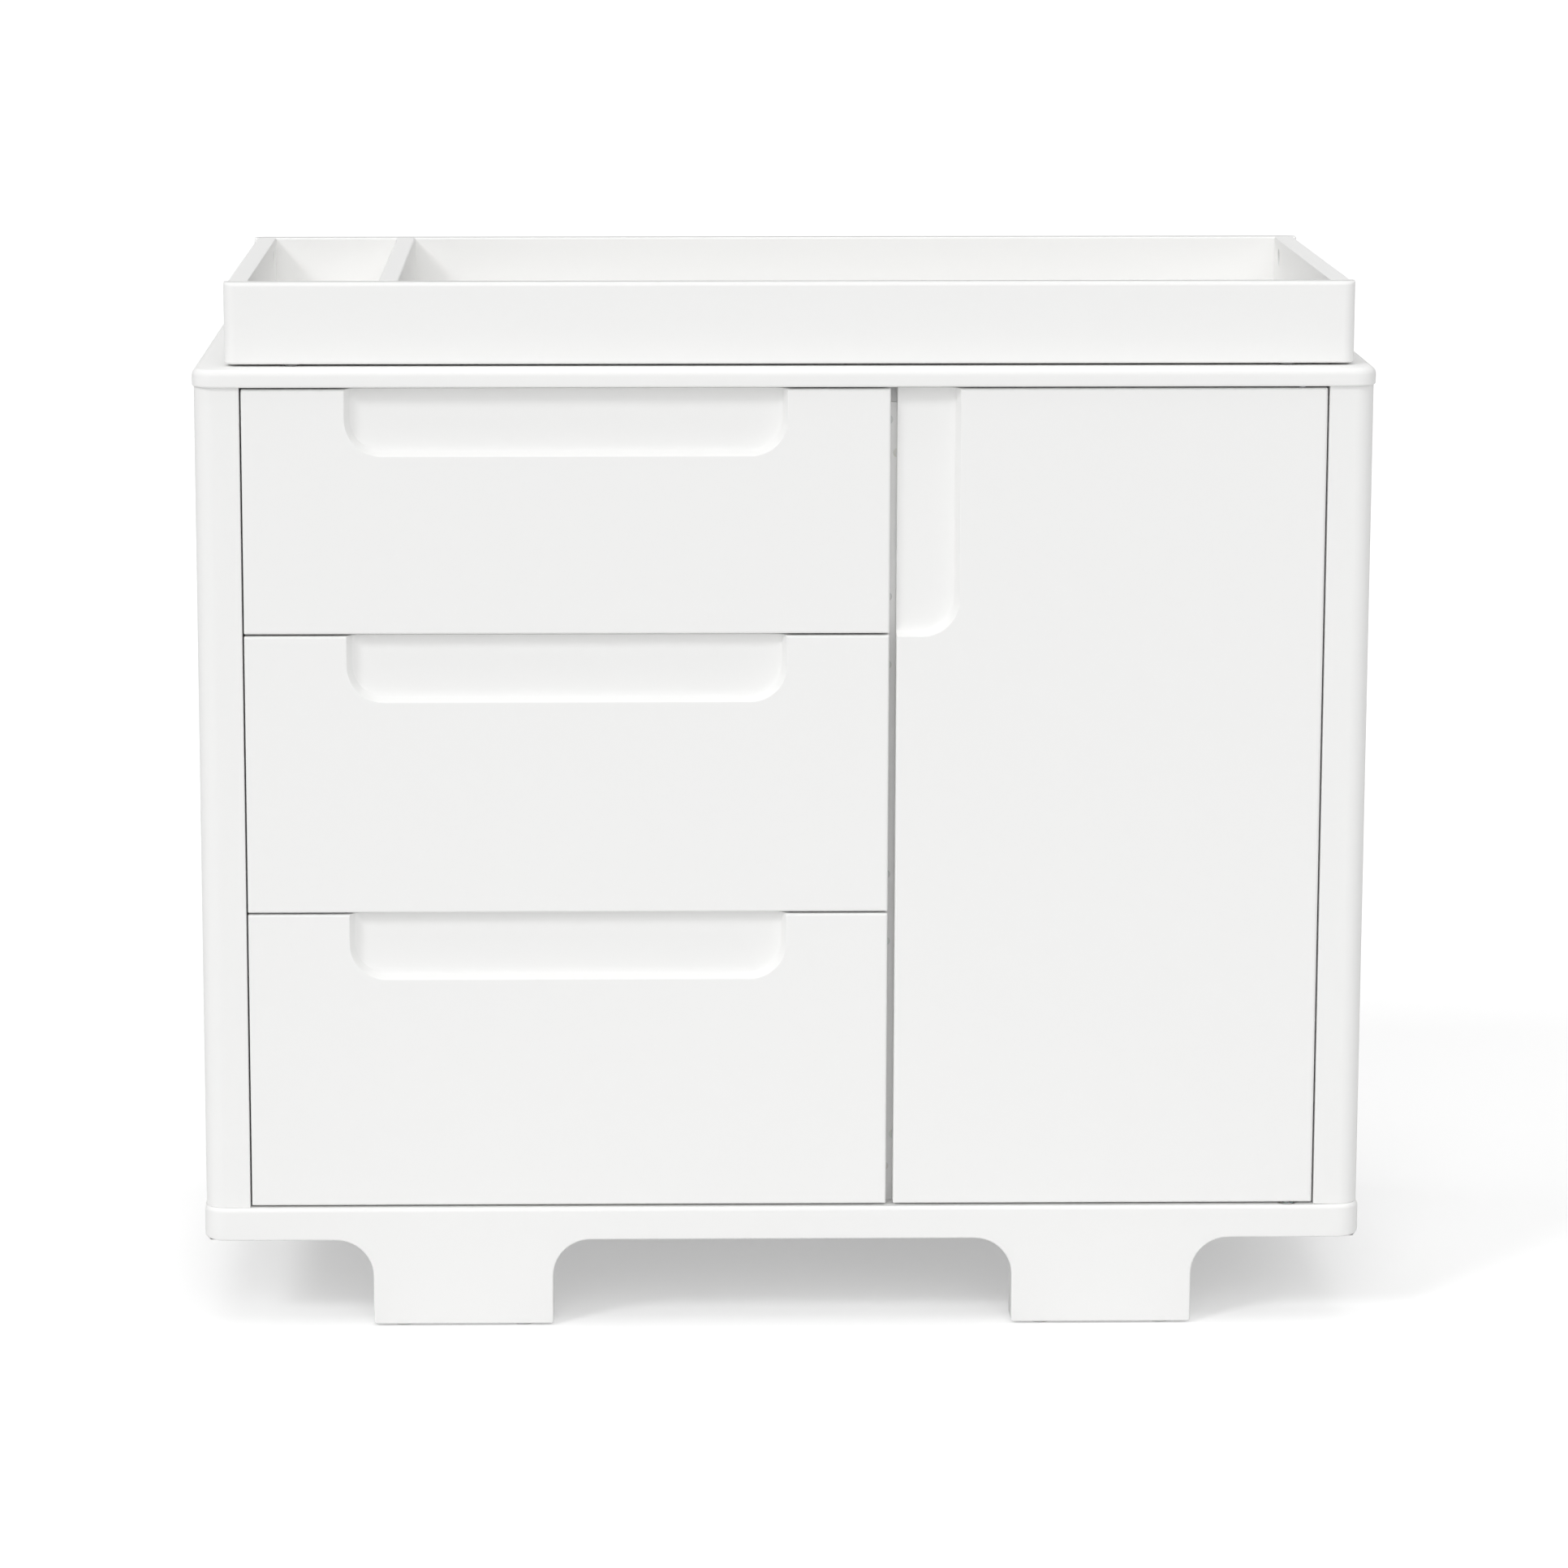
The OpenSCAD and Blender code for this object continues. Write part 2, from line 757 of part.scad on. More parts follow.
module tray_floor() {
    color(inside_white) floor_sheet();
}

module tray_cams() {
    length = cam_depth - cam_sink;
    color(zinc)
        for (at = tray_cam_places) {
            rod_x([tray_inner_x0 - cam_depth, at[0], at[1]], cam_r, length);
            rod_x([tray_inner_x1 + cam_sink, at[0], at[1]], cam_r, length);
        }
}

module tray_pads() {
    pad_r = 7;
    inset = 60;
    color(felt)
        for (x = [tray_x0 + inset, tray_x1 - inset], y = [tray_y0 + wall_t / 2, tray_y1 - wall_t / 2])
            translate([x, y, tray_z - tray_gap]) cylinder(r = pad_r, h = tray_gap);
}

// ---------------------------------------------------------------- the pieces

base_front_board();
base_rear_board();
base_side_rail(1);  // base_left_rail
base_side_rail(0);  // base_right_rail
base_cross_rail();
foot_glides();
front_post(1);  // front_left_post
front_post(0);  // front_right_post
rear_post(1);  // rear_left_post
rear_post(0);  // rear_right_post
side_panel(1);  // left_side_panel
side_panel(0);  // right_side_panel
bottom_panel();
partition();
rail(rail_front_y, rail_front_y + rail_d);  // top_front_rail
rail(back_y - rail_d, back_y);  // top_rear_rail
back_panel(left_back_x[0], left_back_x[1]);  // left_back_panel
back_panel(right_back_x[0], right_back_x[1]);  // right_back_panel
back_screws();
top_panel();
shelf(upper_shelf_z);  // upper_shelf
shelf(lower_shelf_z);  // lower_shelf
shelf_pins();
body_cams();
slide_body_members();
slide_screws();
pivot_bushes();
bumpers();
door_catch();
door();
door_pivots();
door_strike();
drawer_front(drawer_spans[0]);  // top_drawer_front
drawer_sides(drawer_spans[0]);  // top_drawer_sides
drawer_back(drawer_spans[0]);  // top_drawer_back
drawer_bottom(drawer_spans[0]);  // top_drawer_bottom
drawer_members(drawer_spans[0]);  // top_slide_drawer_members
middle_members(drawer_spans[0]);  // top_slide_middle_members
drawer_front(drawer_spans[1]);  // middle_drawer_front
drawer_sides(drawer_spans[1]);  // middle_drawer_sides
drawer_back(drawer_spans[1]);  // middle_drawer_back
drawer_bottom(drawer_spans[1]);  // middle_drawer_bottom
drawer_members(drawer_spans[1]);  // middle_slide_drawer_members
middle_members(drawer_spans[1]);  // middle_slide_middle_members
drawer_front(drawer_spans[2]);  // bottom_drawer_front
drawer_sides(drawer_spans[2]);  // bottom_drawer_sides
drawer_back(drawer_spans[2]);  // bottom_drawer_back
drawer_bottom(drawer_spans[2]);  // bottom_drawer_bottom
drawer_members(drawer_spans[2]);  // bottom_slide_drawer_members
middle_members(drawer_spans[2]);  // bottom_slide_middle_members
end_wall(tray_y0, tray_inner_y0);  // tray_front_wall
end_wall(tray_inner_y1, tray_y1);  // tray_rear_wall
side_wall(tray_wall_x0, tray_inner_x0 - cam_depth);  // tray_left_wall
side_wall(tray_inner_x1, tray_inner_x1 - cut);  // tray_right_wall
tray_divider();
tray_floor();
tray_cams();
tray_pads();
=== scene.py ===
"""Nursery dresser with three drawers, a door and a lift-off changing tray, finished in white lacquer.

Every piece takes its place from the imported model. All lengths are in metres.
"""

import json
import math

import bmesh
import bpy
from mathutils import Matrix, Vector

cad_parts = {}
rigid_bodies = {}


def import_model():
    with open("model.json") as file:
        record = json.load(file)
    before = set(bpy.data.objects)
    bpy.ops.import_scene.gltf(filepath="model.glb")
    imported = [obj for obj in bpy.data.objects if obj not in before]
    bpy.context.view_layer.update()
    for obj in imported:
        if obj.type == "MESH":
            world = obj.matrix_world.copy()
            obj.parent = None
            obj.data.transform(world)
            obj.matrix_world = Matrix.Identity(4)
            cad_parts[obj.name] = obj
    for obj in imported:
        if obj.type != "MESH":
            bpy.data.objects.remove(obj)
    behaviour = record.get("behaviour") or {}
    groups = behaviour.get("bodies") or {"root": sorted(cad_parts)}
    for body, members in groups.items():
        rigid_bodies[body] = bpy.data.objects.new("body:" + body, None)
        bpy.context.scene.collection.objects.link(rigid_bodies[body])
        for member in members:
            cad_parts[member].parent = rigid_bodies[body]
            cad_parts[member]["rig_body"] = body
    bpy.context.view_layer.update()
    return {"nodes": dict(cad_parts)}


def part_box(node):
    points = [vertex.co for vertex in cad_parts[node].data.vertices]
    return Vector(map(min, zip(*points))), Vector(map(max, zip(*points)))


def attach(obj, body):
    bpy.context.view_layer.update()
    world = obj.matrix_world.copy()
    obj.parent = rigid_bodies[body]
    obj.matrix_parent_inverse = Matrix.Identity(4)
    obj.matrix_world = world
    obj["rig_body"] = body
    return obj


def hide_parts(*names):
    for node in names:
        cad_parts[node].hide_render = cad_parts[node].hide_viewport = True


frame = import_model()

bl_info = {
    "name": "Changing table",
    "version": (1, 0, 0),
    "blender": (4, 5, 0),
    "location": "3D View > Sidebar > Changing table",
    "description": "Makes the finished pieces of a changing table round its packed model",
    "category": "Object",
}

MM = 0.001
TINY = 0.01 * MM
DRAWERS = ("top", "middle", "bottom")
UP = Vector((0, 0, 1))
DOWN = -UP
RIGHT = Vector((1, 0, 0))
FORWARD = Vector((0, -1, 0))
BACKWARD = -FORWARD


# ---------------------------------------------------------------- settings

def length(name, description, millimetres):
    """A length that a user may change, shown in the units of the scene."""
    return bpy.props.FloatProperty(
        name=name, description=description, default=millimetres * MM, min=0, precision=4, unit="LENGTH"
    )


def colour(name, description, value):
    """A colour that a user may change."""
    return bpy.props.FloatVectorProperty(
        name=name, description=description, default=value, min=0, max=1, subtype="COLOR"
    )


def share(name, description, value):
    """A number from 0 to 1 that a user may change."""
    return bpy.props.FloatProperty(
        name=name, description=description, default=value, min=0, max=1, subtype="FACTOR"
    )


class TableEdges(bpy.types.PropertyGroup):
    """How far the edges of the boards are rounded."""

    front: length("Front edge", "Radius round the face of the door and the drawer fronts", 2.2)
    door: length("Door corner", "Radius of the upright front edge of the door beside its pivots", 3)
    lip: length("Recess lip", "Radius of the lip of a finger recess", 0.7)
    top: length("Top edge", "Radius of the upper edge of the top panel", 6)
    top_lower: length("Lower top edge", "Radius of the lower edge of the top panel", 2)
    base: length("Base edge", "Radius of the upper edge of the base", 4)
    base_end: length("Base end", "Radius of the lower edge at the ends of the base", 6)
    foot: length("Foot corner", "Radius of the lower corners of the feet", 3)
    tray: length("Tray edge", "Radius of the upper edge along the front and the rear of the tray", 4.5)
    tray_inner: length("Inner tray edge", "Radius of the other upper edges of the tray walls", 2)
    tray_lower: length("Lower tray edge", "Radius of the lower edge of the tray walls", 2.5)
    tray_end: length("Tray end", "Radius of the inner upright edges at the ends of the tray", 2.5)
    board: length("Board edge", "Radius of the other edges of a board", 1)
    panel: length("Panel edge", "Radius of the edges of the boards inside the body", 0.5)
    drawer: length("Drawer box edge", "Radius of the edges of the sides and backs of the drawers", 0.8)
    end: length("Post end", "Radius at the ends of the posts and the side panels", 0.7)
    foot_side: length("Foot side", "Radius of the other edges of the base", 1.5)
    glide: length("Glide edge", "Radius of the edges of the glides", 0.6)
    joint: length("Joint edge", "Radius of an edge that butts against another board", 0.35)
    metal: length("Metal edge", "Radius of the edges of a metal part", 0.25)


class TableRecesses(bpy.types.PropertyGroup):
    """Sizes of the finger recesses."""

    margin: length("Margin", "Front left standing on each side of a drawer recess", 91.5)
    height: length("Height", "Height of a drawer recess", 60)
    door_width: length("Door width", "Width of the recess in the door", 56)
    door_height: length("Door height", "Height of the recess in the door", 223)
    depth: length("Depth", "Depth of a recess at its floor", 12)
    wall_width: length("Wall width", "Inset of the straight part of the wall of a recess", 4)
    wall_depth: length("Wall depth", "Depth that the straight part of the wall reaches", 9.2)
    reach: length("Reach", "Inset at which the wall of a recess ends in its floor", 17)
    bend: length("Bend", "Radius of the corner of a recess at the face", 33)


class TableHardware(bpy.types.PropertyGroup):
    """Sizes of the metal and plastic parts."""

    sheet: length("Sheet", "Thickness of the steel of a slide", 1.2)
    fold: length("Fold", "Radius at the middle of the sheet where it is folded", 1.9)
    screw_head: length("Screw head", "Radius of a screw head", 3.5)
    slide_head: length("Slide screw height", "Height of the head of a slide screw", 1.5)
    back_head: length("Back screw height", "Height of the head of a screw in the back", 2)
    cross: length("Cross width", "Width of the cross slot in a screw head", 0.9)
    cam_cross: length("Cam cross width", "Width of the cross slot in a cam lock", 1.6)
    cam_slot: length("Cam slot", "Depth of the cross slot in a cam lock", 3)
    cam_sink: length("Cam sink", "How far a cam lock sits below the face of its board", 2.5)
    ball_pitch: length("Ball pitch", "Distance from ball to ball in a slide", 9)
    ball_size: share("Ball size", "Radius of a ball as a share of the gap that it runs in", 0.48)


class TableFinish(bpy.types.PropertyGroup):
    """Colours and gloss of the finishes."""

    lacquer: colour("Lacquer", "Colour of the lacquered boards", (0.89, 0.89, 0.89))
    lacquer_gloss: share("Lacquer roughness", "Roughness of the satin lacquer", 0.36)
    foil: colour("Foil", "Colour of the foil on the inner boards", (0.82, 0.815, 0.80))
    hardboard: colour("Hardboard", "Colour of the painted hardboard at the back", (0.80, 0.79, 0.77))
    steel: colour("Steel", "Colour of the plated steel", (0.60, 0.61, 0.63))
    zinc: colour("Zinc", "Colour of the cast zinc", (0.28, 0.28, 0.29))
    nylon: colour("Nylon", "Colour of the plastic parts", (0.80, 0.80, 0.78))
    rubber: colour("Rubber", "Colour of the rubber pads", (0.12, 0.12, 0.12))


class TableStage(bpy.types.PropertyGroup):
    """Camera and light."""

    camera_place: bpy.props.FloatVectorProperty(
        name="Camera place", description="Where the camera stands",
        default=(-0.150, -4.998, 1.433), subtype="TRANSLATION", unit="LENGTH",
    )
    camera_dip: bpy.props.FloatProperty(
        name="Camera dip", description="How far the camera looks down",
        default=math.radians(10.07), subtype="ANGLE",
    )
    camera_turn: bpy.props.FloatProperty(
        name="Camera turn", description="How far the camera is turned to the right",
        default=math.radians(0.79), subtype="ANGLE",
    )
    focal_length: bpy.props.FloatProperty(
        name="Focal length", description="Focal length of the lens in millimetres", default=123.7, min=1
    )
    shift: bpy.props.FloatVectorProperty(
        name="Shift", description="Shift of the lens to the right and upwards", size=2, default=(0.06, -0.06)
    )
    floor: colour("Floor", "Colour of the floor", (0.80, 0.80, 0.80))
    glow: share("Floor glow", "How much brighter the camera sees the floor than it is lit", 0.36)
    room: share("Room light", "Strength of the even light of the room", 0.24)
    key: share("Key light", "Strength of the light from the front left", 0.26)
    fill: share("Fill light", "Strength of the light from the front right", 0.08)
    side: share("Side light", "Strength of the light from the left", 0.10)
    front: share("Front light", "Strength of the light from the front", 0.25)
    bounce: share("Bounce light", "Strength of the light from the right", 0.08)
    back: share("Back light", "Strength of the light from behind", 0.06)
    top: share("Top light", "Strength of the light from above", 0.19)
    key_softness: bpy.props.FloatProperty(
        name="Key softness", description="Angle that the key light fills", default=math.radians(14),
        subtype="ANGLE",
    )
    softness: bpy.props.FloatProperty(
        name="Softness", description="Angle that each other light fills", default=math.radians(40),
        subtype="ANGLE",
    )


# ---------------------------------------------------------------- finishes

class Finish:
    """A material whose nodes are added one after another."""

    def __init__(self, name):
        self.material = bpy.data.materials.new(name)
        self.material.use_nodes = True
        self.tree = self.material.node_tree
        self.shader = self.tree.nodes["Principled BSDF"]
        self.place = self.add("ShaderNodeTexCoord").outputs["Object"]

    def add(self, kind, **settings):
        """Adds a node; a setting whose name is a socket's sets that socket, or links to it."""
        node = self.tree.nodes.new(kind)
        for name, value in settings.items():
            if hasattr(node, name):
                setattr(node, name, value)
        for name, value in settings.items():
            socket = node.inputs.get(name.replace("_", " ").title()) if not hasattr(node, name) else None
            if socket is not None:
                self.feed(socket, value)
        return node

    def feed(self, socket, value):
        """Links a socket to an output, or sets it to a plain value."""
        if isinstance(value, bpy.types.NodeSocket):
            self.tree.links.new(value, socket)
        else:
            socket.default_value = value

    def noise(self, scale, detail=2.0, stretch=(1, 1, 1)):
        """Noise over the piece, drawn out along an axis where its stretch is small."""
        mapped = self.add("ShaderNodeMapping", vector=self.place, scale=stretch)
        texture = self.add("ShaderNodeTexNoise", vector=mapped.outputs[0], detail=detail)
        texture.inputs["Scale"].default_value = scale
        return texture.outputs["Fac"]

    def spread(self, value, low, high, start=0.3, end=0.7):
        """Maps a value from start..end to low..high."""
        node = self.add("ShaderNodeMapRange")
        for socket, number in zip(node.inputs, (value, start, end, low, high)):
            self.feed(socket, number)
        return node.outputs[0]

    def calculate(self, operation, first, second):
        """One arithmetic step on two values."""
        node = self.add("ShaderNodeMath", operation=operation)
        self.feed(node.inputs[0], first)
        self.feed(node.inputs[1], second)
        return node.outputs[0]

    def blend(self, factor, first, second):
        """A colour between two colours."""
        node = self.add("ShaderNodeMix", data_type="RGBA")
        self.feed(node.inputs["Factor"], factor)
        for socket, value in ((node.inputs[6], first), (node.inputs[7], second)):
            self.feed(socket, value if isinstance(value, bpy.types.NodeSocket) else (*value, 1))
        return node.outputs[2]

    def bump(self, height, distance, normal=None):
        """Raises the surface by a height, up to a distance."""
        node = self.add("ShaderNodeBump")
        self.feed(node.inputs["Height"], height)
        node.inputs["Distance"].default_value = distance
        if normal is not None:
            self.feed(node.inputs["Normal"], normal)
        return node.outputs[0]

    def edge(self):
        """1 on the rounded edges of a piece and 0 on its faces."""
        return self.add("ShaderNodeAttribute", attribute_name=EDGE).outputs["Fac"]

    def finish(self, colour=None, roughness=None, normal=None, **fixed):
        """Feeds the shader and returns the material."""
        for name, value in (("Base Color", colour), ("Roughness", roughness), ("Normal", normal)):
            if value is not None:
                self.feed(self.shader.inputs[name], value)
        for name, value in fixed.items():
            self.shader.inputs[name.replace("_", " ").title().replace("Ior", "IOR")].default_value = value
        return self.material


EDGE = "rounded_edge"


def shade(value, factor):
    """A colour made lighter or darker."""
    return tuple(min(channel * factor, 1) for channel in value)


def white_lacquer(name, settings):
    """Sprayed satin lacquer: a faint orange peel, a few dust nibs, and edges a little greyer and glossier."""
    coat = Finish(name)
    cloud = coat.noise(2.2, 3)
    worn = coat.calculate("MULTIPLY", coat.edge(), coat.spread(coat.noise(28, 4), 0, 1, 0.52, 0.66))
    base = coat.blend(coat.spread(cloud, 0, 1), shade(settings.lacquer, 0.985), settings.lacquer)
    tone = coat.blend(coat.calculate("MULTIPLY", worn, 0.35), base, (0.79, 0.79, 0.79))
    gloss = coat.spread(coat.noise(45, 5), settings.lacquer_gloss - 0.04, settings.lacquer_gloss + 0.05)
    gloss = coat.calculate("SUBTRACT", gloss, coat.calculate("MULTIPLY", coat.edge(), 0.06))
    peel = coat.bump(coat.noise(420, 2), 0.012 * MM)
    nibs = coat.bump(coat.spread(coat.noise(900, 1), 0, 1, 0.76, 0.82), 0.02 * MM, peel)
    return coat.finish(tone, gloss, nibs, coat_weight=0.12, coat_roughness=0.22)


def inner_foil(name, settings):
    """White foil with a fine pressed grain that runs along the boards."""
    foil = Finish(name)
    fibres = foil.noise(1, 6, stretch=(18, 420, 420))
    pores = foil.spread(foil.noise(1, 3, stretch=(60, 1500, 1500)), 0, 1, 0.56, 0.64)
    tone = foil.blend(foil.spread(fibres, 0, 1), shade(settings.foil, 0.965), settings.foil)
    gloss = foil.spread(foil.noise(60, 4), 0.42, 0.56)
    return foil.finish(tone, gloss, foil.bump(foil.calculate("SUBTRACT", fibres, pores), 0.03 * MM))


def painted_hardboard(name, settings):
    """Thin painted hardboard with pressed fibres."""
    board = Finish(name)
    fibres = board.noise(240, 6)
    mottle = board.noise(14, 4)
    tone = board.blend(board.spread(mottle, 0, 1), shade(settings.hardboard, 0.94), settings.hardboard)
    tone = board.blend(board.spread(fibres, 0, 0.12, 0.5, 0.75), tone, (0.45, 0.38, 0.30))
    return board.finish(tone, board.spread(fibres, 0.55, 0.75), board.bump(fibres, 0.06 * MM))


def plated_steel(name, settings):
    """Bright zinc-plated sheet with marks of rolling along its length."""
    steel = Finish(name)
    rolled = steel.noise(1, 4, stretch=(900, 12, 900))
    spangle = steel.noise(160, 2)
    tone = steel.blend(steel.spread(spangle, 0, 1), shade(settings.steel, 0.86), settings.steel)
    sparkle = steel.calculate("MULTIPLY", spangle, 0.06)
    gloss = steel.calculate("ADD", steel.spread(rolled, 0.22, 0.38), sparkle)
    return steel.finish(tone, gloss, steel.bump(rolled, 0.01 * MM), metallic=1.0)


def cast_zinc(name, settings):
    """Dull cast zinc with a grainy skin."""
    zinc = Finish(name)
    grain = zinc.noise(1200, 3)
    tone = zinc.blend(zinc.spread(zinc.noise(300, 3), 0, 1), shade(settings.zinc, 0.8), settings.zinc)
    return zinc.finish(tone, zinc.spread(grain, 0.38, 0.55), zinc.bump(grain, 0.03 * MM), metallic=1.0)


def moulded_plastic(name, settings):
    """Semi-clear moulded plastic with a fine spark-eroded texture."""
    plastic = Finish(name)
    texture = plastic.noise(1500, 2)
    tone = plastic.blend(plastic.noise(80, 2), shade(settings.nylon, 0.95), settings.nylon)
    return plastic.finish(
        tone, plastic.spread(texture, 0.32, 0.46), plastic.bump(texture, 0.01 * MM),
        subsurface_weight=0.25, subsurface_scale=1.5 * MM,
    )


def soft_rubber(name, settings):
    """Matt black rubber with a dusty bloom."""
    rubber = Finish(name)
    bloom = rubber.noise(220, 5)
    tone = rubber.blend(rubber.spread(bloom, 0, 0.5), settings.rubber, shade(settings.rubber, 2.2))
    return rubber.finish(tone, rubber.spread(bloom, 0.7, 0.88), rubber.bump(bloom, 0.05 * MM))


FINISHES = {
    "white_lacquer": white_lacquer,
    "inner_board": inner_foil,
    "back_board": painted_hardboard,
    "slide_steel": plated_steel,
    "zinc_fastener": cast_zinc,
    "clear_plastic": moulded_plastic,
    "pad_rubber": soft_rubber,
}


def finish_of(slot):
    """The material of one of the model's finishes, made when it is first asked for."""
    make = FINISHES[slot]
    return bpy.data.materials.get(make.__name__) or make(make.__name__, bpy.context.scene.table_finish)


# ---------------------------------------------------------------- pieces

def slot_of(node):
    """The name of the finish that a node of the model has."""
    return frame["nodes"][node].data.materials[0].name


def body_of(node):
    """The name of the body that a node of the model rides on."""
    return frame["nodes"][node]["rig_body"]


def new_piece(name, mesh, slot):
    """Puts a bmesh into the scene as a smooth piece with one finish."""
    for face in mesh.faces:
        face.smooth = True
    data = bpy.data.meshes.new(name)
    mesh.to_mesh(data)
    mesh.free()
    piece = bpy.data.objects.new(name, data)
    bpy.context.scene.collection.objects.link(piece)
    data.materials.append(finish_of(slot))
    return piece


def settle(piece):
    """Turns a piece and its modifiers into a plain mesh."""
    graph = bpy.context.evaluated_depsgraph_get()
    finished = piece.evaluated_get(graph)
    made = bpy.data.meshes.new_from_object(finished, preserve_all_data_layers=True, depsgraph=graph)
    made.name = piece.name
    piece.modifiers.clear()
    unused = piece.data
    piece.data = made
    bpy.data.meshes.remove(unused)


def stand_for(piece, *nodes):
    """Lets a finished piece ride with the nodes of the model that it stands for."""
    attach(piece, body_of(nodes[0]))
    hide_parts(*nodes)
    return piece


def ease(piece, radius_at, segments=3):
    """Rounds the edges of a piece: radius_at gives an edge's radius from its two ends."""
    mesh = bmesh.new()
    mesh.from_mesh(piece.data)
    weight = mesh.edges.layers.float.new("bevel_weight_edge")
    sharp = [edge for edge in mesh.edges if edge.calc_face_angle(0) > math.radians(30)]
    radii = {edge: radius_at(edge.verts[0].co, edge.verts[1].co) for edge in sharp}
    widest = max(radii.values())
    for edge, radius in radii.items():
        edge[weight] = radius / widest
    mesh.to_mesh(piece.data)
    mesh.free()
    piece.data.materials.append(piece.data.materials[0])
    bevel = piece.modifiers.new("Rounding", "BEVEL")
    bevel.limit_method = "WEIGHT"
    bevel.width = widest
    bevel.segments = segments
    bevel.use_clamp_overlap = False
    bevel.material = 1
    normals = piece.modifiers.new("Flat faces", "WEIGHTED_NORMAL")
    normals.weight = 100
    settle(piece)
    mark_edges(piece.data)


def mark_edges(data):
    """Notes on every corner whether its face belongs to a rounded edge."""
    marks = data.attributes.new(EDGE, "FLOAT", "CORNER")
    values = [float(face.material_index) for face in data.polygons for _ in face.loop_indices]
    marks.data.foreach_set("value", values)
    data.polygons.foreach_set("material_index", [0] * len(data.polygons))
    data.materials.pop(index=1)


def merged_copy(node):
    """A bmesh of a node of the model, its triangles merged back into whole faces."""
    mesh = bmesh.new()
    mesh.from_mesh(frame["nodes"][node].data)
    bmesh.ops.remove_doubles(mesh, verts=mesh.verts, dist=TINY)
    bmesh.ops.dissolve_limit(mesh, angle_limit=math.radians(0.5), verts=mesh.verts, edges=mesh.edges)
    return mesh


def eased_board(node, radius_at=None, segments=3):
    """The piece that a node of the model describes, with its edges rounded."""
    board = bpy.context.scene.table_edges.board
    piece = new_piece(f"{node}_eased", merged_copy(node), slot_of(node))
    ease(piece, radius_at or (lambda first, second: board), segments)
    return stand_for(piece, node)


def both(first, second, axis, value):
    """Whether both ends of an edge lie in the plane where one coordinate has a value."""
    return abs(first[axis] - value) < 20 * TINY and abs(second[axis] - value) < 20 * TINY


def graded(first, second, plane, bend, near, far):
    """A radius that goes from near, on a plane of one y, to far, where the rounded corner ends."""
    away = abs((first.y + second.y) / 2 - plane) / bend
    return near + (far - near) * min(away, 1)


def solids(node):
    """The lowest and highest corners of every separate solid in a node of the model."""
    mesh = merged_copy(node)
    found = []
    waiting = set(mesh.verts)
    while waiting:
        island = {waiting.pop()}
        edge_of_island = list(island)
        while edge_of_island:
            near = {e.other_vert(v) for v in edge_of_island for e in v.link_edges} & waiting
            waiting -= near
            island |= near
            edge_of_island = list(near)
        axes = list(zip(*(vertex.co for vertex in island)))
        found.append((Vector(map(min, axes)), Vector(map(max, axes))))
    mesh.free()
    return sorted(found, key=lambda box: tuple(round(value, 4) for value in box[0]))


def arc(centre, radius, start, end, steps=12):
    """Points on an arc, in degrees from +X towards the second axis."""
    turns = [math.radians(start + (end - start) * step / steps) for step in range(steps + 1)]
    return [(centre[0] + radius * math.cos(turn), centre[1] + radius * math.sin(turn)) for turn in turns]


# ---------------------------------------------------------------- recessed fronts

def drawer_notch(low, high, sizes, inset):
    """Outline of a drawer's recess from its left end to its right end, drawn in by an inset."""
    left = low.x + sizes.margin + inset
    right = high.x - sizes.margin - inset
    bend = sizes.bend - inset
    corner_z = high.z - sizes.height + sizes.bend
    left_bend = arc((left + bend, corner_z), bend, 180, 270)
    right_bend = arc((right - bend, corner_z), bend, 270, 360)
    return [(left, high.z), *left_bend, *right_bend, (right, high.z)]


def door_notch(low, high, sizes, inset):
    """Outline of the door's recess from its left edge to its top edge, drawn in by an inset."""
    right = low.x + sizes.door_width - inset
    bottom = high.z - sizes.door_height + inset
    bend = sizes.bend - inset
    return [(low.x, bottom), *arc((right - bend, bottom + bend), bend, 270, 360), (right, high.z)]


def cove(sizes, steps=8):
    """Insets and depths from the lip to the floor: a straight wall that a curve blends into the floor."""
    bend = sizes.wall_width * sizes.depth / sizes.wall_depth
    points = [(0, 0)]
    for t in [step / steps for step in range(steps + 1)]:
        inset = (1 - t) ** 2 * sizes.wall_width + 2 * t * (1 - t) * bend + t ** 2 * sizes.reach
        points.append((inset, sizes.depth - (1 - t) ** 2 * (sizes.depth - sizes.wall_depth)))
    return points


def recessed_front(low, high, sizes, notch, face_corners, floor_corners):
    """A board with a coved recess that runs out over its edge.

    The corners of the face and of the recess floor are those that follow the end of the outline.
    """
    mesh = bmesh.new()
    rings = []
    for inset, depth in cove(sizes):
        outline = notch(low, high, sizes, inset)
        rings.append([mesh.verts.new((x, low.y + depth, z)) for x, z in outline])
    for outer, inner in zip(rings, rings[1:]):
        for pair in zip(outer, outer[1:], inner[1:], inner):
            mesh.faces.new(pair)
    face = [mesh.verts.new((x, low.y, z)) for x, z in face_corners]
    floor = [mesh.verts.new((x, low.y + sizes.depth, z)) for x, z in floor_corners]
    mesh.faces.new(rings[0] + face)
    mesh.faces.new(rings[-1] + floor)
    starts = [ring[0] for ring in rings]
    ends = [ring[-1] for ring in rings]
    rim = face + starts + floor[::-1] + ends[::-1]
    back = [mesh.verts.new((vertex.co.x, high.y, vertex.co.z)) for vertex in rim]
    for here in range(len(rim)):
        there = (here + 1) % len(rim)
        mesh.faces.new((rim[here], rim[there], back[there], back[here]))
    mesh.faces.new(back)
    bmesh.ops.recalc_face_normals(mesh, faces=mesh.faces)
    bmesh.ops.dissolve_limit(mesh, angle_limit=math.radians(0.5), verts=mesh.verts, edges=mesh.edges)
    return mesh


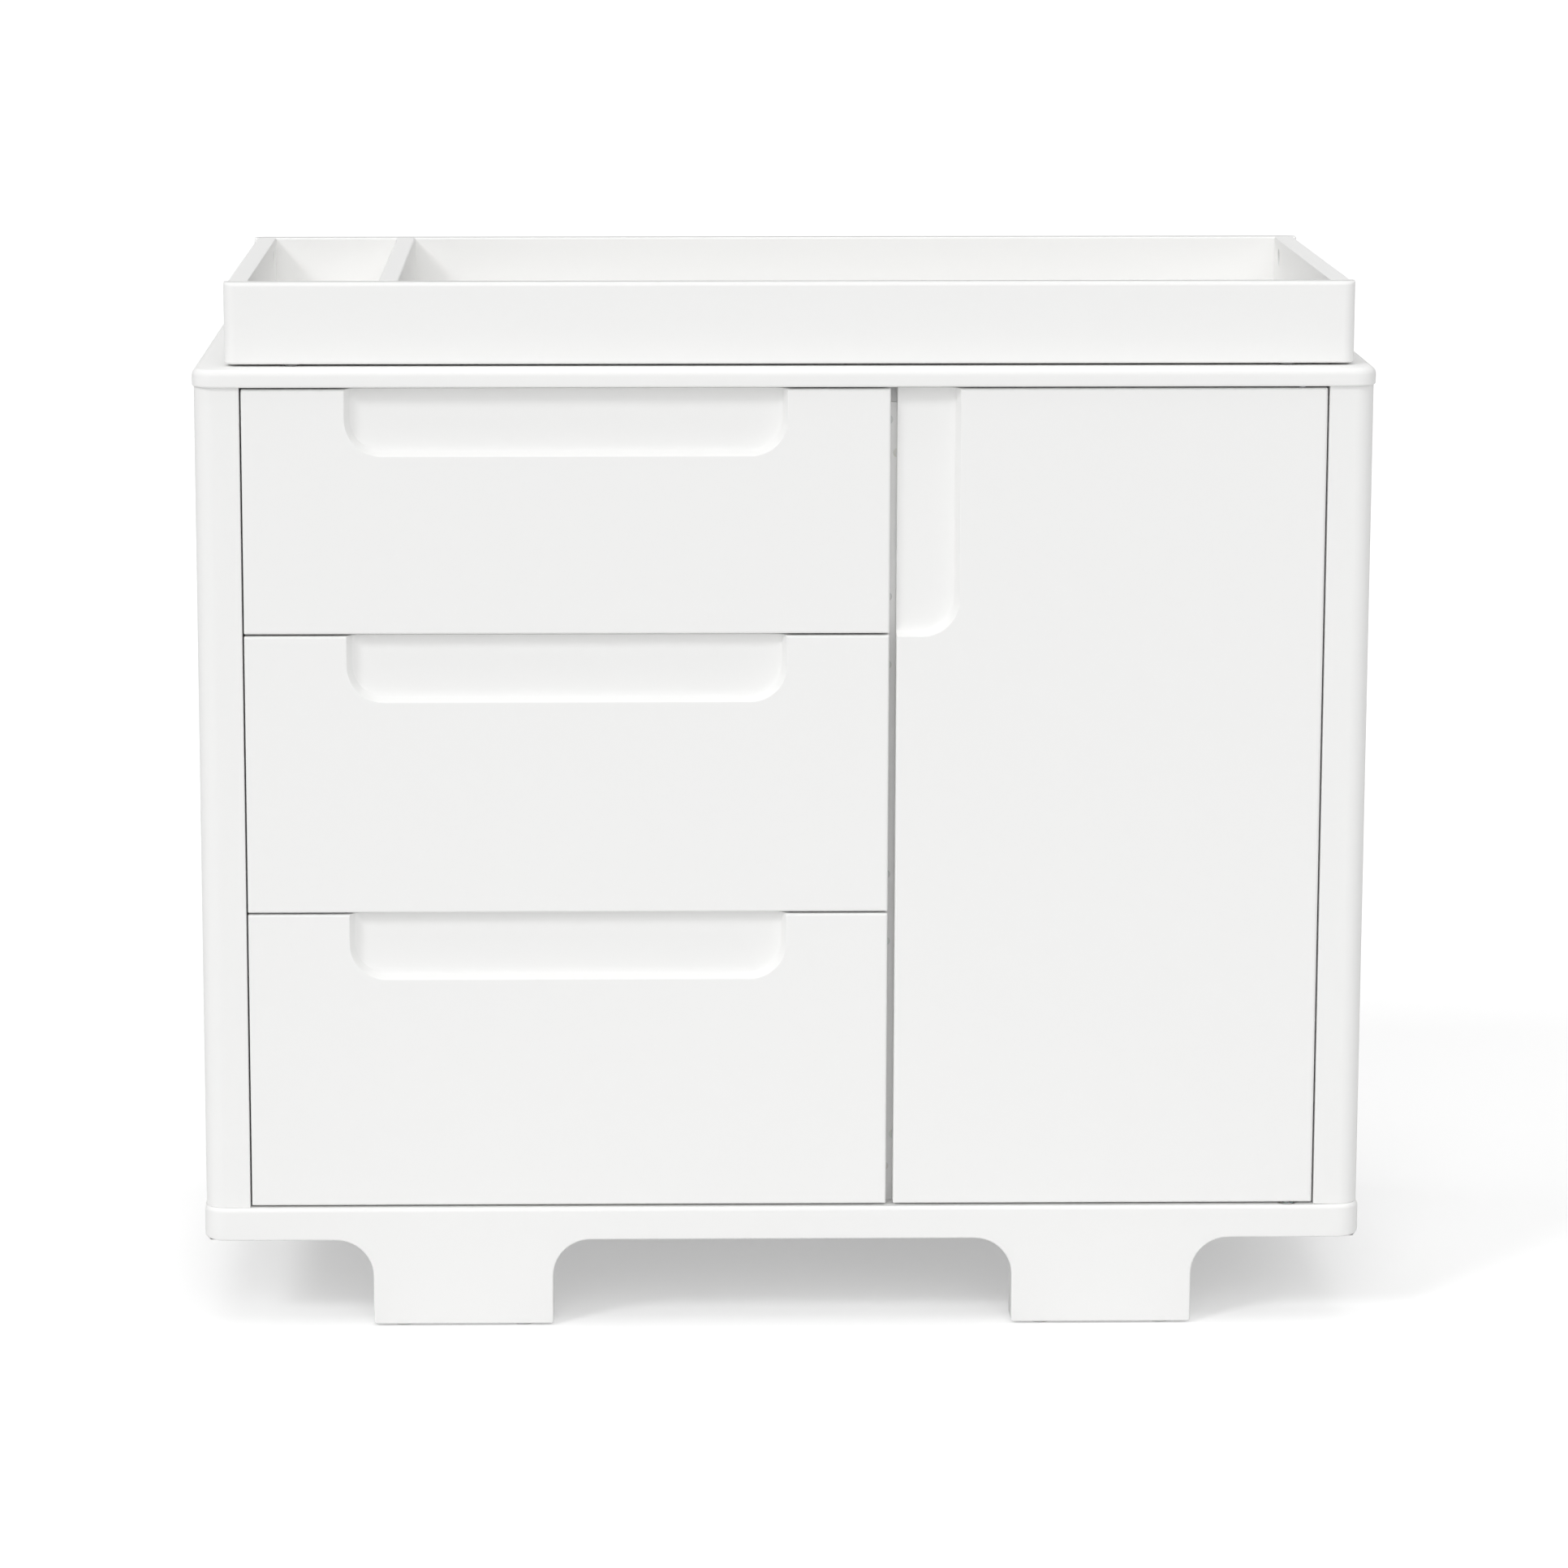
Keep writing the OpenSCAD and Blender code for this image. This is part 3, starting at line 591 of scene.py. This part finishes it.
def front_radius(low, high, edges, corner=None):
    """The rule that gives each edge of a front its radius."""
    def radius_at(first, second):
        outside = [
            (axis, value) for axis in (0, 2) for value in (low[axis], high[axis])
            if both(first, second, axis, value)
        ]
        if both(first, second, 1, low.y):
            if corner and (0, high.x) in outside:
                return corner
            return edges.front if outside else edges.lip
        if both(first, second, 1, high.y) or len(outside) == 2:
            return edges.board
        return edges.lip
    return radius_at


def make_front(node, notch, face_corners, floor_corners, corner=None):
    """A drawer front or door with its recess and its rounded edges."""
    settings = bpy.context.scene
    low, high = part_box(node)
    mesh = recessed_front(low, high, settings.table_recesses, notch, face_corners, floor_corners)
    piece = new_piece(f"{node}_board", mesh, slot_of(node))
    ease(piece, front_radius(low, high, settings.table_edges, corner), 4)
    return stand_for(piece, node)


# ---------------------------------------------------------------- turned and folded parts

def turned(outline, steps=32):
    """A solid turned about Z from an outline of (radius, height) that starts and ends on the axis."""
    mesh = bmesh.new()
    points = [mesh.verts.new((radius, 0, height)) for radius, height in outline]
    lines = [mesh.edges.new(pair) for pair in zip(points, points[1:])]
    bmesh.ops.spin(mesh, geom=points + lines, axis=UP, angle=math.tau, steps=steps)
    bmesh.ops.remove_doubles(mesh, verts=mesh.verts, dist=0.1 * TINY)
    bmesh.ops.recalc_face_normals(mesh, faces=mesh.faces)
    return mesh


def cut_cross(piece, width, reach, depth):
    """Cuts a cross slot down into the top of a turned part, whose top is at z = 0."""
    mesh = bmesh.new()
    for size in ((reach, width), (width, reach)):
        bar = bmesh.ops.create_cube(mesh, size=1)["verts"]
        bmesh.ops.scale(mesh, vec=(*size, 2 * depth), verts=bar)
    cutter = new_piece("cross_cutter", mesh, "zinc_fastener")
    slot = piece.modifiers.new("Cross", "BOOLEAN")
    slot.object = cutter
    slot.use_self = True
    settle(piece)
    bpy.data.objects.remove(cutter)


def screw_head(radius, height, cross, slot):
    """A pan head whose top is at z = 0."""
    dome = [(radius * math.sin(t), -height + height * math.cos(t) ** 0.6) for t in
            [math.pi / 2 * step / 8 for step in range(8)]]
    head = new_piece("screw_head", turned([*dome, (radius, -height), (0, -height)]), slot)
    cut_cross(head, cross, 1.2 * radius, 0.6 * height)
    return head


def cam_lock(radius, height, cross, depth, slot):
    """A cam lock with a raised rim and a cross slot of a width and a depth, whose top is at z = 0."""
    rim = 0.86 * radius
    sink = 0.5 * MM
    chamfer = 0.3 * MM
    outline = [(0, -sink), (rim, -sink), (rim, 0), (radius - chamfer, 0), (radius, -chamfer),
               (radius, -height), (0, -height)]
    lock = new_piece("cam_lock", turned(outline), slot)
    cut_cross(lock, cross, 1.1 * radius, depth)
    return lock


def dome(radius, height, slot):
    """A soft stick-on bumper whose base is at z = 0."""
    curve = [(radius * math.cos(t), height * (0.35 + 0.65 * math.sin(t))) for t in
             [math.pi / 2 * step / 8 for step in range(9)]]
    return new_piece("dome", turned([(0, 0), (radius, 0), *curve[:-1], (0, height)], 24), slot)


def folded_channel(mesh, low, high, web_low, sheet, fold):
    """Adds the middle surface of a folded channel along Y, whose web is at the low or the high x."""
    half = sheet / 2
    web, tip = (low.x + half, high.x) if web_low else (high.x - half, low.x)
    away = 1 if web_low else -1
    bottom, top = low.z + half, high.z - half
    corner = [(web + away * (fold - x), z) for x, z in arc((0, bottom + fold), fold, -90, 0, 4)]
    outline = [(tip, bottom), *corner, *[(x, bottom + top - z) for x, z in corner[::-1]], (tip, top)]
    rows = [[mesh.verts.new((x, y, z)) for x, z in outline] for y in (low.y, high.y)]
    for quad in zip(rows[0], rows[0][1:], rows[1][1:], rows[1]):
        mesh.faces.new(quad if web_low else quad[::-1])


def make_channels(node, towards_drawer):
    """All the slide members of one kind on one body, folded from sheet."""
    settings = bpy.context.scene
    sheet = settings.table_hardware.sheet
    boxes = solids(node)
    middle = sum((low.x + high.x) / 2 for low, high in boxes) / len(boxes)
    mesh = bmesh.new()
    for low, high in boxes:
        on_left = low.x < middle
        folded_channel(mesh, low, high, on_left == towards_drawer, sheet, settings.table_hardware.fold)
    piece = new_piece(f"{node}_folded", mesh, slot_of(node))
    thick = piece.modifiers.new("Sheet", "SOLIDIFY")
    thick.thickness = sheet
    thick.offset = 0
    settle(piece)
    metal = settings.table_edges.metal
    ease(piece, lambda first, second: metal, 2)
    return stand_for(piece, node)


# ---------------------------------------------------------------- geometry nodes

def node_tree(name, inputs):
    """An empty geometry node tree with named inputs, its group input and its group output."""
    tree = bpy.data.node_groups.new(name, "GeometryNodeTree")
    tree.interface.new_socket("Geometry", in_out="INPUT", socket_type="NodeSocketGeometry")
    for label, kind in inputs:
        tree.interface.new_socket(label, in_out="INPUT", socket_type=f"NodeSocket{kind}")
    tree.interface.new_socket("Geometry", in_out="OUTPUT", socket_type="NodeSocketGeometry")
    return tree, tree.nodes.new("NodeGroupInput"), tree.nodes.new("NodeGroupOutput")


def wire(tree, kind, **links):
    """Adds a node and feeds its sockets, each named by its label with _ for a space."""
    node = tree.nodes.new(kind)
    for label, value in links.items():
        socket = node.inputs[label.replace("_", " ")]
        if isinstance(value, bpy.types.NodeSocket):
            tree.links.new(value, socket)
        else:
            socket.default_value = value
    return node


def close_tree(tree, geometry, material, out):
    """Ends a tree: real geometry with its material."""
    real = wire(tree, "GeometryNodeRealizeInstances", Geometry=geometry)
    painted = wire(tree, "GeometryNodeSetMaterial", Geometry=real.outputs[0], Material=material)
    tree.links.new(painted.outputs[0], out.inputs[0])


def parts_tree():
    """Puts a part on every point, its top facing along the point's own direction, and turned at random."""
    tree, given, out = node_tree(
        "parts_on_points", (("Part", "Object"), ("Turn", "Float"), ("Seed", "Int"), ("Material", "Material"))
    )
    part = wire(tree, "GeometryNodeObjectInfo", Object=given.outputs["Part"])
    facing = tree.nodes.new("GeometryNodeInputNamedAttribute")
    facing.data_type = "FLOAT_VECTOR"
    facing.inputs["Name"].default_value = "facing"
    turn = tree.nodes.new("FunctionNodeRandomValue")
    tree.links.new(given.outputs["Turn"], turn.inputs[3])
    tree.links.new(given.outputs["Seed"], turn.inputs["Seed"])
    spin = tree.nodes.new("ShaderNodeCombineXYZ")
    tree.links.new(turn.outputs[1], spin.inputs["Z"])
    aim = wire(tree, "FunctionNodeAlignRotationToVector", Vector=facing.outputs["Attribute"])
    aim.axis = "Z"
    spun = tree.nodes.new("FunctionNodeRotateRotation")
    spun.rotation_space = "LOCAL"
    tree.links.new(aim.outputs[0], spun.inputs[0])
    tree.links.new(spin.outputs[0], spun.inputs[1])
    placed = wire(
        tree, "GeometryNodeInstanceOnPoints", Points=given.outputs["Geometry"],
        Instance=part.outputs["Geometry"], Rotation=spun.outputs[0],
    )
    close_tree(tree, placed.outputs[0], given.outputs["Material"], out)
    return tree


def balls_tree():
    """Runs a row of balls backwards from every point."""
    tree, given, out = node_tree(
        "ball_rows", (("Count", "Int"), ("Pitch", "Float"), ("Radius", "Float"), ("Material", "Material"))
    )
    step = wire(tree, "ShaderNodeCombineXYZ", Y=given.outputs["Pitch"])
    row = wire(tree, "GeometryNodeMeshLine", Count=given.outputs["Count"], Offset=step.outputs[0])
    rows = wire(
        tree, "GeometryNodeInstanceOnPoints", Points=given.outputs["Geometry"], Instance=row.outputs[0]
    )
    places = wire(tree, "GeometryNodeRealizeInstances", Geometry=rows.outputs[0])
    ball = wire(tree, "GeometryNodeMeshIcoSphere", Radius=given.outputs["Radius"], Subdivisions=3)
    smooth = wire(tree, "GeometryNodeSetShadeSmooth", Geometry=ball.outputs["Mesh"])
    balls = wire(
        tree, "GeometryNodeInstanceOnPoints", Points=places.outputs[0], Instance=smooth.outputs[0]
    )
    close_tree(tree, balls.outputs[0], given.outputs["Material"], out)
    return tree


def grow(name, points, facings, tree, slot, **inputs):
    """Runs a node tree on points and returns the result as a plain piece."""
    mesh = bmesh.new()
    for point in points:
        mesh.verts.new(point)
    piece = new_piece(name, mesh, slot)
    if facings:
        directions = piece.data.attributes.new("facing", "FLOAT_VECTOR", "POINT")
        directions.data.foreach_set("vector", [value for facing in facings for value in facing])
    inputs["Material"] = finish_of(slot)
    modifier = piece.modifiers.new(name, "NODES")
    modifier.node_group = tree
    for socket in tree.interface.items_tree:
        if socket.in_out == "INPUT" and socket.name in inputs:
            modifier[socket.identifier] = inputs[socket.name]
    settle(piece)
    return piece


def repeat_part(name, part, node, places, seed, turn=math.tau):
    """Puts a copy of a part at each (point, facing) place of a node of the model."""
    tree = bpy.data.node_groups.get("parts_on_points") or parts_tree()
    points = [point for point, _ in places]
    facings = [facing for _, facing in places]
    piece = grow(name, points, facings, tree, slot_of(node), Part=part, Turn=turn, Seed=seed)
    return stand_for(piece, node)


def face_centre(box, direction):
    """The middle of the face of a box that faces in a direction."""
    low, high = box
    half = (high - low) / 2
    return low + half + Vector(size * way for size, way in zip(half, direction))


# ---------------------------------------------------------------- operators

class TABLE_OT_base(bpy.types.Operator):
    """Makes the base boards with their feet, the rails between them and the glides"""

    bl_idname = "changing_table.make_base"
    bl_label = "Base"

    def execute(self, context):
        edges = context.scene.table_edges
        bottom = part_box("base_left_rail")[0].z
        for node in ("base_front_board", "base_rear_board"):
            low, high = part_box(node)
            outer, inner = (high.y, low.y) if "rear" in node else (low.y, high.y)

            def radius_at(first, second, low=low, high=high, outer=outer, inner=inner):
                if both(first, second, 1, inner):
                    return edges.joint
                if both(first, second, 2, high.z):
                    return edges.base
                if both(first, second, 2, bottom):
                    return graded(first, second, outer, high.y - low.y, edges.foot_side, edges.base_end)
                across = both(first, second, 2, low.z) and not both(first, second, 1, outer)
                return edges.foot if across else edges.foot_side

            eased_board(node, radius_at, 5)
        for node in ("base_left_rail", "base_right_rail"):
            low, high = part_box(node)
            outer = low.x if "left" in node else high.x

            def radius_at(first, second, low=low, high=high, outer=outer):
                butts = both(first, second, 1, low.y) or both(first, second, 1, high.y)
                if butts or not both(first, second, 0, outer):
                    return edges.joint
                return edges.base if both(first, second, 2, high.z) else edges.base_end

            eased_board(node, radius_at, 5)
        eased_board("base_cross_rail")
        eased_board("foot_glides", lambda first, second: edges.glide)
        return {"FINISHED"}


class TABLE_OT_body(bpy.types.Operator):
    """Makes the posts, the panels, the rails, the shelves and the back of the body"""

    bl_idname = "changing_table.make_body"
    bl_label = "Body"

    def execute(self, context):
        edges = context.scene.table_edges
        for node in ("front_left_post", "front_right_post", "rear_left_post", "rear_right_post",
                     "left_side_panel", "right_side_panel"):
            low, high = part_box(node)

            def radius_at(first, second, low=low, high=high):
                ends = both(first, second, 2, low.z) or both(first, second, 2, high.z)
                return edges.end if ends else edges.board

            eased_board(node, radius_at)
        for node in ("bottom_panel", "partition", "top_front_rail", "top_rear_rail", "upper_shelf",
                     "lower_shelf"):
            eased_board(node, lambda first, second: edges.panel)
        for node in ("left_back_panel", "right_back_panel"):
            eased_board(node, lambda first, second: edges.joint)
        return {"FINISHED"}


class TABLE_OT_top(bpy.types.Operator):
    """Makes the top panel with its rounded upper edge"""

    bl_idname = "changing_table.make_top"
    bl_label = "Top panel"

    def execute(self, context):
        edges = context.scene.table_edges
        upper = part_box("top_panel")[1].z
        eased_board(
            "top_panel",
            lambda first, second: edges.top if both(first, second, 2, upper) else edges.top_lower,
            6,
        )
        return {"FINISHED"}


class TABLE_OT_fronts(bpy.types.Operator):
    """Makes the three drawer fronts and the door, each with a coved finger recess"""

    bl_idname = "changing_table.make_fronts"
    bl_label = "Fronts"

    def execute(self, context):
        for name in DRAWERS:
            node = f"{name}_drawer_front"
            low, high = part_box(node)
            corners = [(high.x, high.z), (high.x, low.z), (low.x, low.z), (low.x, high.z)]
            make_front(node, drawer_notch, corners, [])
        low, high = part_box("door")
        corners = [(high.x, high.z), (high.x, low.z), (low.x, low.z)]
        corner = context.scene.table_edges.door
        make_front("door", door_notch, corners, [(low.x, high.z)], corner)
        return {"FINISHED"}


class TABLE_OT_drawers(bpy.types.Operator):
    """Makes the sides, the backs and the bottoms of the drawer boxes"""

    bl_idname = "changing_table.make_drawers"
    bl_label = "Drawer boxes"

    def execute(self, context):
        edges = context.scene.table_edges
        for name in DRAWERS:
            for part in ("sides", "back"):
                eased_board(f"{name}_drawer_{part}", lambda first, second: edges.drawer)
            eased_board(f"{name}_drawer_bottom", lambda first, second: edges.joint, 2)
        return {"FINISHED"}


class TABLE_OT_tray(bpy.types.Operator):
    """Makes the walls, the divider, the floor and the pads of the changing tray"""

    bl_idname = "changing_table.make_tray"
    bl_label = "Tray"

    def execute(self, context):
        edges = context.scene.table_edges
        for node in ("tray_front_wall", "tray_rear_wall"):
            low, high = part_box(node)
            outer, inner = (high.y, low.y) if "rear" in node else (low.y, high.y)

            def radius_at(first, second, low=low, high=high, outer=outer, inner=inner):
                at_end = both(first, second, 0, low.x) or both(first, second, 0, high.x)
                if at_end and both(first, second, 1, inner):
                    return edges.tray_end
                if both(first, second, 2, high.z):
                    if both(first, second, 1, inner):
                        return edges.tray_inner
                    return graded(first, second, outer, (high.y - low.y) / 2, edges.tray, edges.board)
                if both(first, second, 2, low.z) and not both(first, second, 1, inner):
                    return edges.tray_lower
                return edges.board

            eased_board(node, radius_at, 5)
        for node in ("tray_left_wall", "tray_right_wall", "tray_divider"):
            low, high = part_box(node)

            def radius_at(first, second, low=low, high=high):
                if both(first, second, 1, low.y) or both(first, second, 1, high.y):
                    return edges.joint
                return edges.tray_inner if both(first, second, 2, high.z) else edges.board

            eased_board(node, radius_at, 5)
        eased_board("tray_floor", lambda first, second: edges.joint, 2)
        eased_board("tray_pads", lambda first, second: edges.panel)
        return {"FINISHED"}


class TABLE_OT_slides(bpy.types.Operator):
    """Makes the drawer slides: folded members, rows of balls and screws"""

    bl_idname = "changing_table.make_slides"
    bl_label = "Drawer slides"

    def execute(self, context):
        hardware = context.scene.table_hardware
        make_channels("slide_body_members", True)
        tree = balls_tree()
        body_boxes = solids("slide_body_members")
        for name in DRAWERS:
            middle = f"{name}_slide_middle_members"
            drawer = f"{name}_slide_drawer_members"
            make_channels(middle, True)
            make_channels(drawer, False)
            for row, outer_boxes, inner_boxes, ahead in (
                ("outer", body_boxes, solids(middle), False), ("inner", solids(middle), solids(drawer), True)
            ):
                balls = f"{name}_{row}_balls"
                self.make_balls(hardware, tree, balls, middle, outer_boxes, inner_boxes, ahead)
        head = screw_head(hardware.screw_head, hardware.slide_head, hardware.cross, "zinc_fastener")
        boxes = solids("slide_screws")
        middle_x = sum(low.x for low, high in boxes) / len(boxes)
        places = []
        for box in boxes:
            facing = RIGHT if box[0].x < middle_x else -RIGHT
            places.append((face_centre(box, facing), facing))
        repeat_part("slide_screw_heads", head, "slide_screws", places, 3)
        bpy.data.objects.remove(head)
        return {"FINISHED"}

    @staticmethod
    def make_balls(hardware, tree, name, rides_with, outer_boxes, inner_boxes, ahead):
        """Rows of balls between the lips of two members, in the front or the rear half of the slide."""
        starts = []
        for inner_low, inner_high in inner_boxes:
            middle = (inner_low + inner_high) / 2
            outer_low, outer_high = min(
                outer_boxes, key=lambda box: ((box[0] + box[1]) / 2 - middle).length
            )
            x = (max(inner_low.x, outer_low.x) + min(inner_high.x, outer_high.x)) / 2
            gap = outer_high.z - hardware.sheet - inner_high.z
            y = inner_low.y + 2 * hardware.ball_pitch if ahead else middle.y + hardware.ball_pitch
            starts.append((x, y, inner_high.z + gap / 2))
            starts.append((x, y, inner_low.z - gap / 2))
        spare = 3
        count = int((inner_high.y - inner_low.y) / 2 / hardware.ball_pitch) - spare
        balls = grow(
            name, starts, None, tree, "slide_steel",
            Count=count, Pitch=hardware.ball_pitch, Radius=hardware.ball_size * gap,
        )
        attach(balls, body_of(rides_with))


class TABLE_OT_fittings(bpy.types.Operator):
    """Makes the cam locks, screws, pins, bushes, bumpers and the door catch"""

    bl_idname = "changing_table.make_fittings"
    bl_label = "Fittings"

    def execute(self, context):
        edges = context.scene.table_edges
        hardware = context.scene.table_hardware
        for node in ("shelf_pins", "door_pivots", "pivot_bushes", "door_strike"):
            eased_board(node, lambda first, second: edges.metal, 2)
        eased_board("door_catch", lambda first, second: edges.board)
        self.make_cams(hardware)
        head = screw_head(hardware.screw_head, hardware.back_head, hardware.cross, "zinc_fastener")
        places = [(face_centre(box, BACKWARD), BACKWARD) for box in solids("back_screws")
                  if box[1].y - box[0].y > hardware.back_head]
        repeat_part("back_screw_heads", head, "back_screws", places, 5)
        bpy.data.objects.remove(head)
        bumper_boxes = solids("bumpers")
        low, high = bumper_boxes[0]
        bumper = dome((high.x - low.x) / 2, high.y - low.y, "clear_plastic")
        places = [(face_centre(box, BACKWARD), FORWARD) for box in bumper_boxes]
        repeat_part("bumper_domes", bumper, "bumpers", places, 7)
        bpy.data.objects.remove(bumper)
        return {"FINISHED"}

    @staticmethod
    def make_cams(hardware):
        """Cam locks in the rails, facing down, and in the side walls of the tray, facing inwards."""
        for node in ("body_cams", "tray_cams"):
            boxes = solids(node)
            low, high = boxes[0]
            radius = (high.y - low.y) / 2
            thick = high.z - low.z if node == "body_cams" else high.x - low.x
            lock = cam_lock(
                radius, thick - hardware.cam_sink, hardware.cam_cross, hardware.cam_slot, "zinc_fastener"
            )
            middle_x = sum(box[0].x for box in boxes) / len(boxes)
            places = []
            for box in boxes:
                facing = DOWN
                if node == "tray_cams":
                    facing = RIGHT if box[0].x < middle_x else -RIGHT
                places.append((face_centre(box, facing) - facing * hardware.cam_sink, facing))
            repeat_part(f"{node}_turned", lock, node, places, 11)
            bpy.data.objects.remove(lock)


class TABLE_OT_stage(bpy.types.Operator):
    """Makes the floor, the lights and the camera"""

    bl_idname = "changing_table.make_stage"
    bl_label = "Stage"

    def execute(self, context):
        scene = context.scene
        stage = scene.table_stage
        scene.view_settings.view_transform = "Standard"
        self.make_floor(stage)
        self.make_room(scene, stage)
        for name, turn, height in (
            ("key", -45, 38), ("fill", 45, 45), ("side", -90, 45), ("front", 0, 30),
            ("bounce", 90, 45), ("back", 180, 45), ("top", 0, 85)
        ):
            softness = stage.key_softness if name == "key" else stage.softness
            self.add_light(f"{name}_light", turn, height, getattr(stage, name), softness)
        lens = bpy.data.cameras.new("camera")
        lens.lens = stage.focal_length
        lens.sensor_width = 36
        lens.shift_x, lens.shift_y = stage.shift
        lens.clip_end = 100
        camera = bpy.data.objects.new("camera", lens)
        camera.location = stage.camera_place
        camera.rotation_euler = (math.pi / 2 - stage.camera_dip, 0, -stage.camera_turn)
        scene.collection.objects.link(camera)
        scene.camera = camera
        return {"FINISHED"}

    @staticmethod
    def make_floor(stage):
        """A wide pale floor under the glides, which only the camera sees glow."""
        mesh = bmesh.new()
        bmesh.ops.create_grid(mesh, x_segments=8, y_segments=8, size=30)
        data = bpy.data.meshes.new("floor")
        mesh.to_mesh(data)
        mesh.free()
        floor = bpy.data.objects.new("floor", data)
        bpy.context.scene.collection.objects.link(floor)
        paint = Finish("pale_floor")
        tone = paint.blend(paint.spread(paint.noise(1.5, 3), 0, 1), shade(stage.floor, 0.99), stage.floor)
        glow = paint.spread(paint.add("ShaderNodeLightPath").outputs["Is Camera Ray"], 0, stage.glow, 0, 1)
        paint.feed(paint.shader.inputs["Emission Strength"], glow)
        data.materials.append(paint.finish(
            tone, paint.spread(paint.noise(30, 3), 0.7, 0.8),
            emission_color=(1, 1, 1, 1), specular_ior_level=0.1,
        ))

    @staticmethod
    def make_room(scene, stage):
        """Even light from all round, which the camera alone sees as plain white."""
        room = bpy.data.worlds.new("room")
        room.use_nodes = True
        tree = room.node_tree
        light = tree.nodes["Background"]
        seen = tree.nodes.new("ShaderNodeLightPath")
        level = tree.nodes.new("ShaderNodeMapRange")
        level.inputs["To Min"].default_value = stage.room
        level.inputs["To Max"].default_value = 1
        tree.links.new(seen.outputs["Is Camera Ray"], level.inputs["Value"])
        tree.links.new(level.outputs[0], light.inputs["Strength"])
        light.inputs["Color"].default_value = (1, 1, 1, 1)
        scene.world = room

    @staticmethod
    def add_light(name, turn, height, strength, softness):
        """A wide, far light: turn is in degrees to the right of the front, height in degrees."""
        data = bpy.data.lights.new(name, "SUN")
        data.energy = math.pi * strength
        data.angle = softness
        lamp = bpy.data.objects.new(name, data)
        lamp.rotation_euler = (math.radians(90 - height), 0, math.radians(turn))
        bpy.context.scene.collection.objects.link(lamp)


STEPS = (
    TABLE_OT_base, TABLE_OT_body, TABLE_OT_top, TABLE_OT_fronts, TABLE_OT_drawers, TABLE_OT_tray,
    TABLE_OT_slides, TABLE_OT_fittings, TABLE_OT_stage,
)
SETTINGS = {
    "table_edges": TableEdges,
    "table_recesses": TableRecesses,
    "table_hardware": TableHardware,
    "table_finish": TableFinish,
    "table_stage": TableStage,
}


class TABLE_PT_maker(bpy.types.Panel):
    """Lists the steps that make the changing table, and its settings"""

    bl_idname = "TABLE_PT_maker"
    bl_label = "Changing table"
    bl_space_type = "VIEW_3D"
    bl_region_type = "UI"
    bl_category = "Changing table"

    def draw(self, context):
        for step in STEPS:
            self.layout.operator(step.bl_idname)
        for name, group in SETTINGS.items():
            box = self.layout.box()
            for setting in group.__annotations__:
                box.prop(getattr(context.scene, name), setting)


def register():
    """Registers the settings, the operators and the panel."""
    for name, group in SETTINGS.items():
        bpy.utils.register_class(group)
        setattr(bpy.types.Scene, name, bpy.props.PointerProperty(type=group))
    for step in (*STEPS, TABLE_PT_maker):
        bpy.utils.register_class(step)


def unregister():
    """Takes the panel, the operators and the settings away again."""
    for step in (TABLE_PT_maker, *reversed(STEPS)):
        bpy.utils.unregister_class(step)
    for name, group in reversed(SETTINGS.items()):
        delattr(bpy.types.Scene, name)
        bpy.utils.unregister_class(group)


def main():
    """Makes every piece."""
    register()
    for step in STEPS:
        group, name = step.bl_idname.split(".")
        getattr(getattr(bpy.ops, group), name)()


if __name__ == "__main__":
    main()
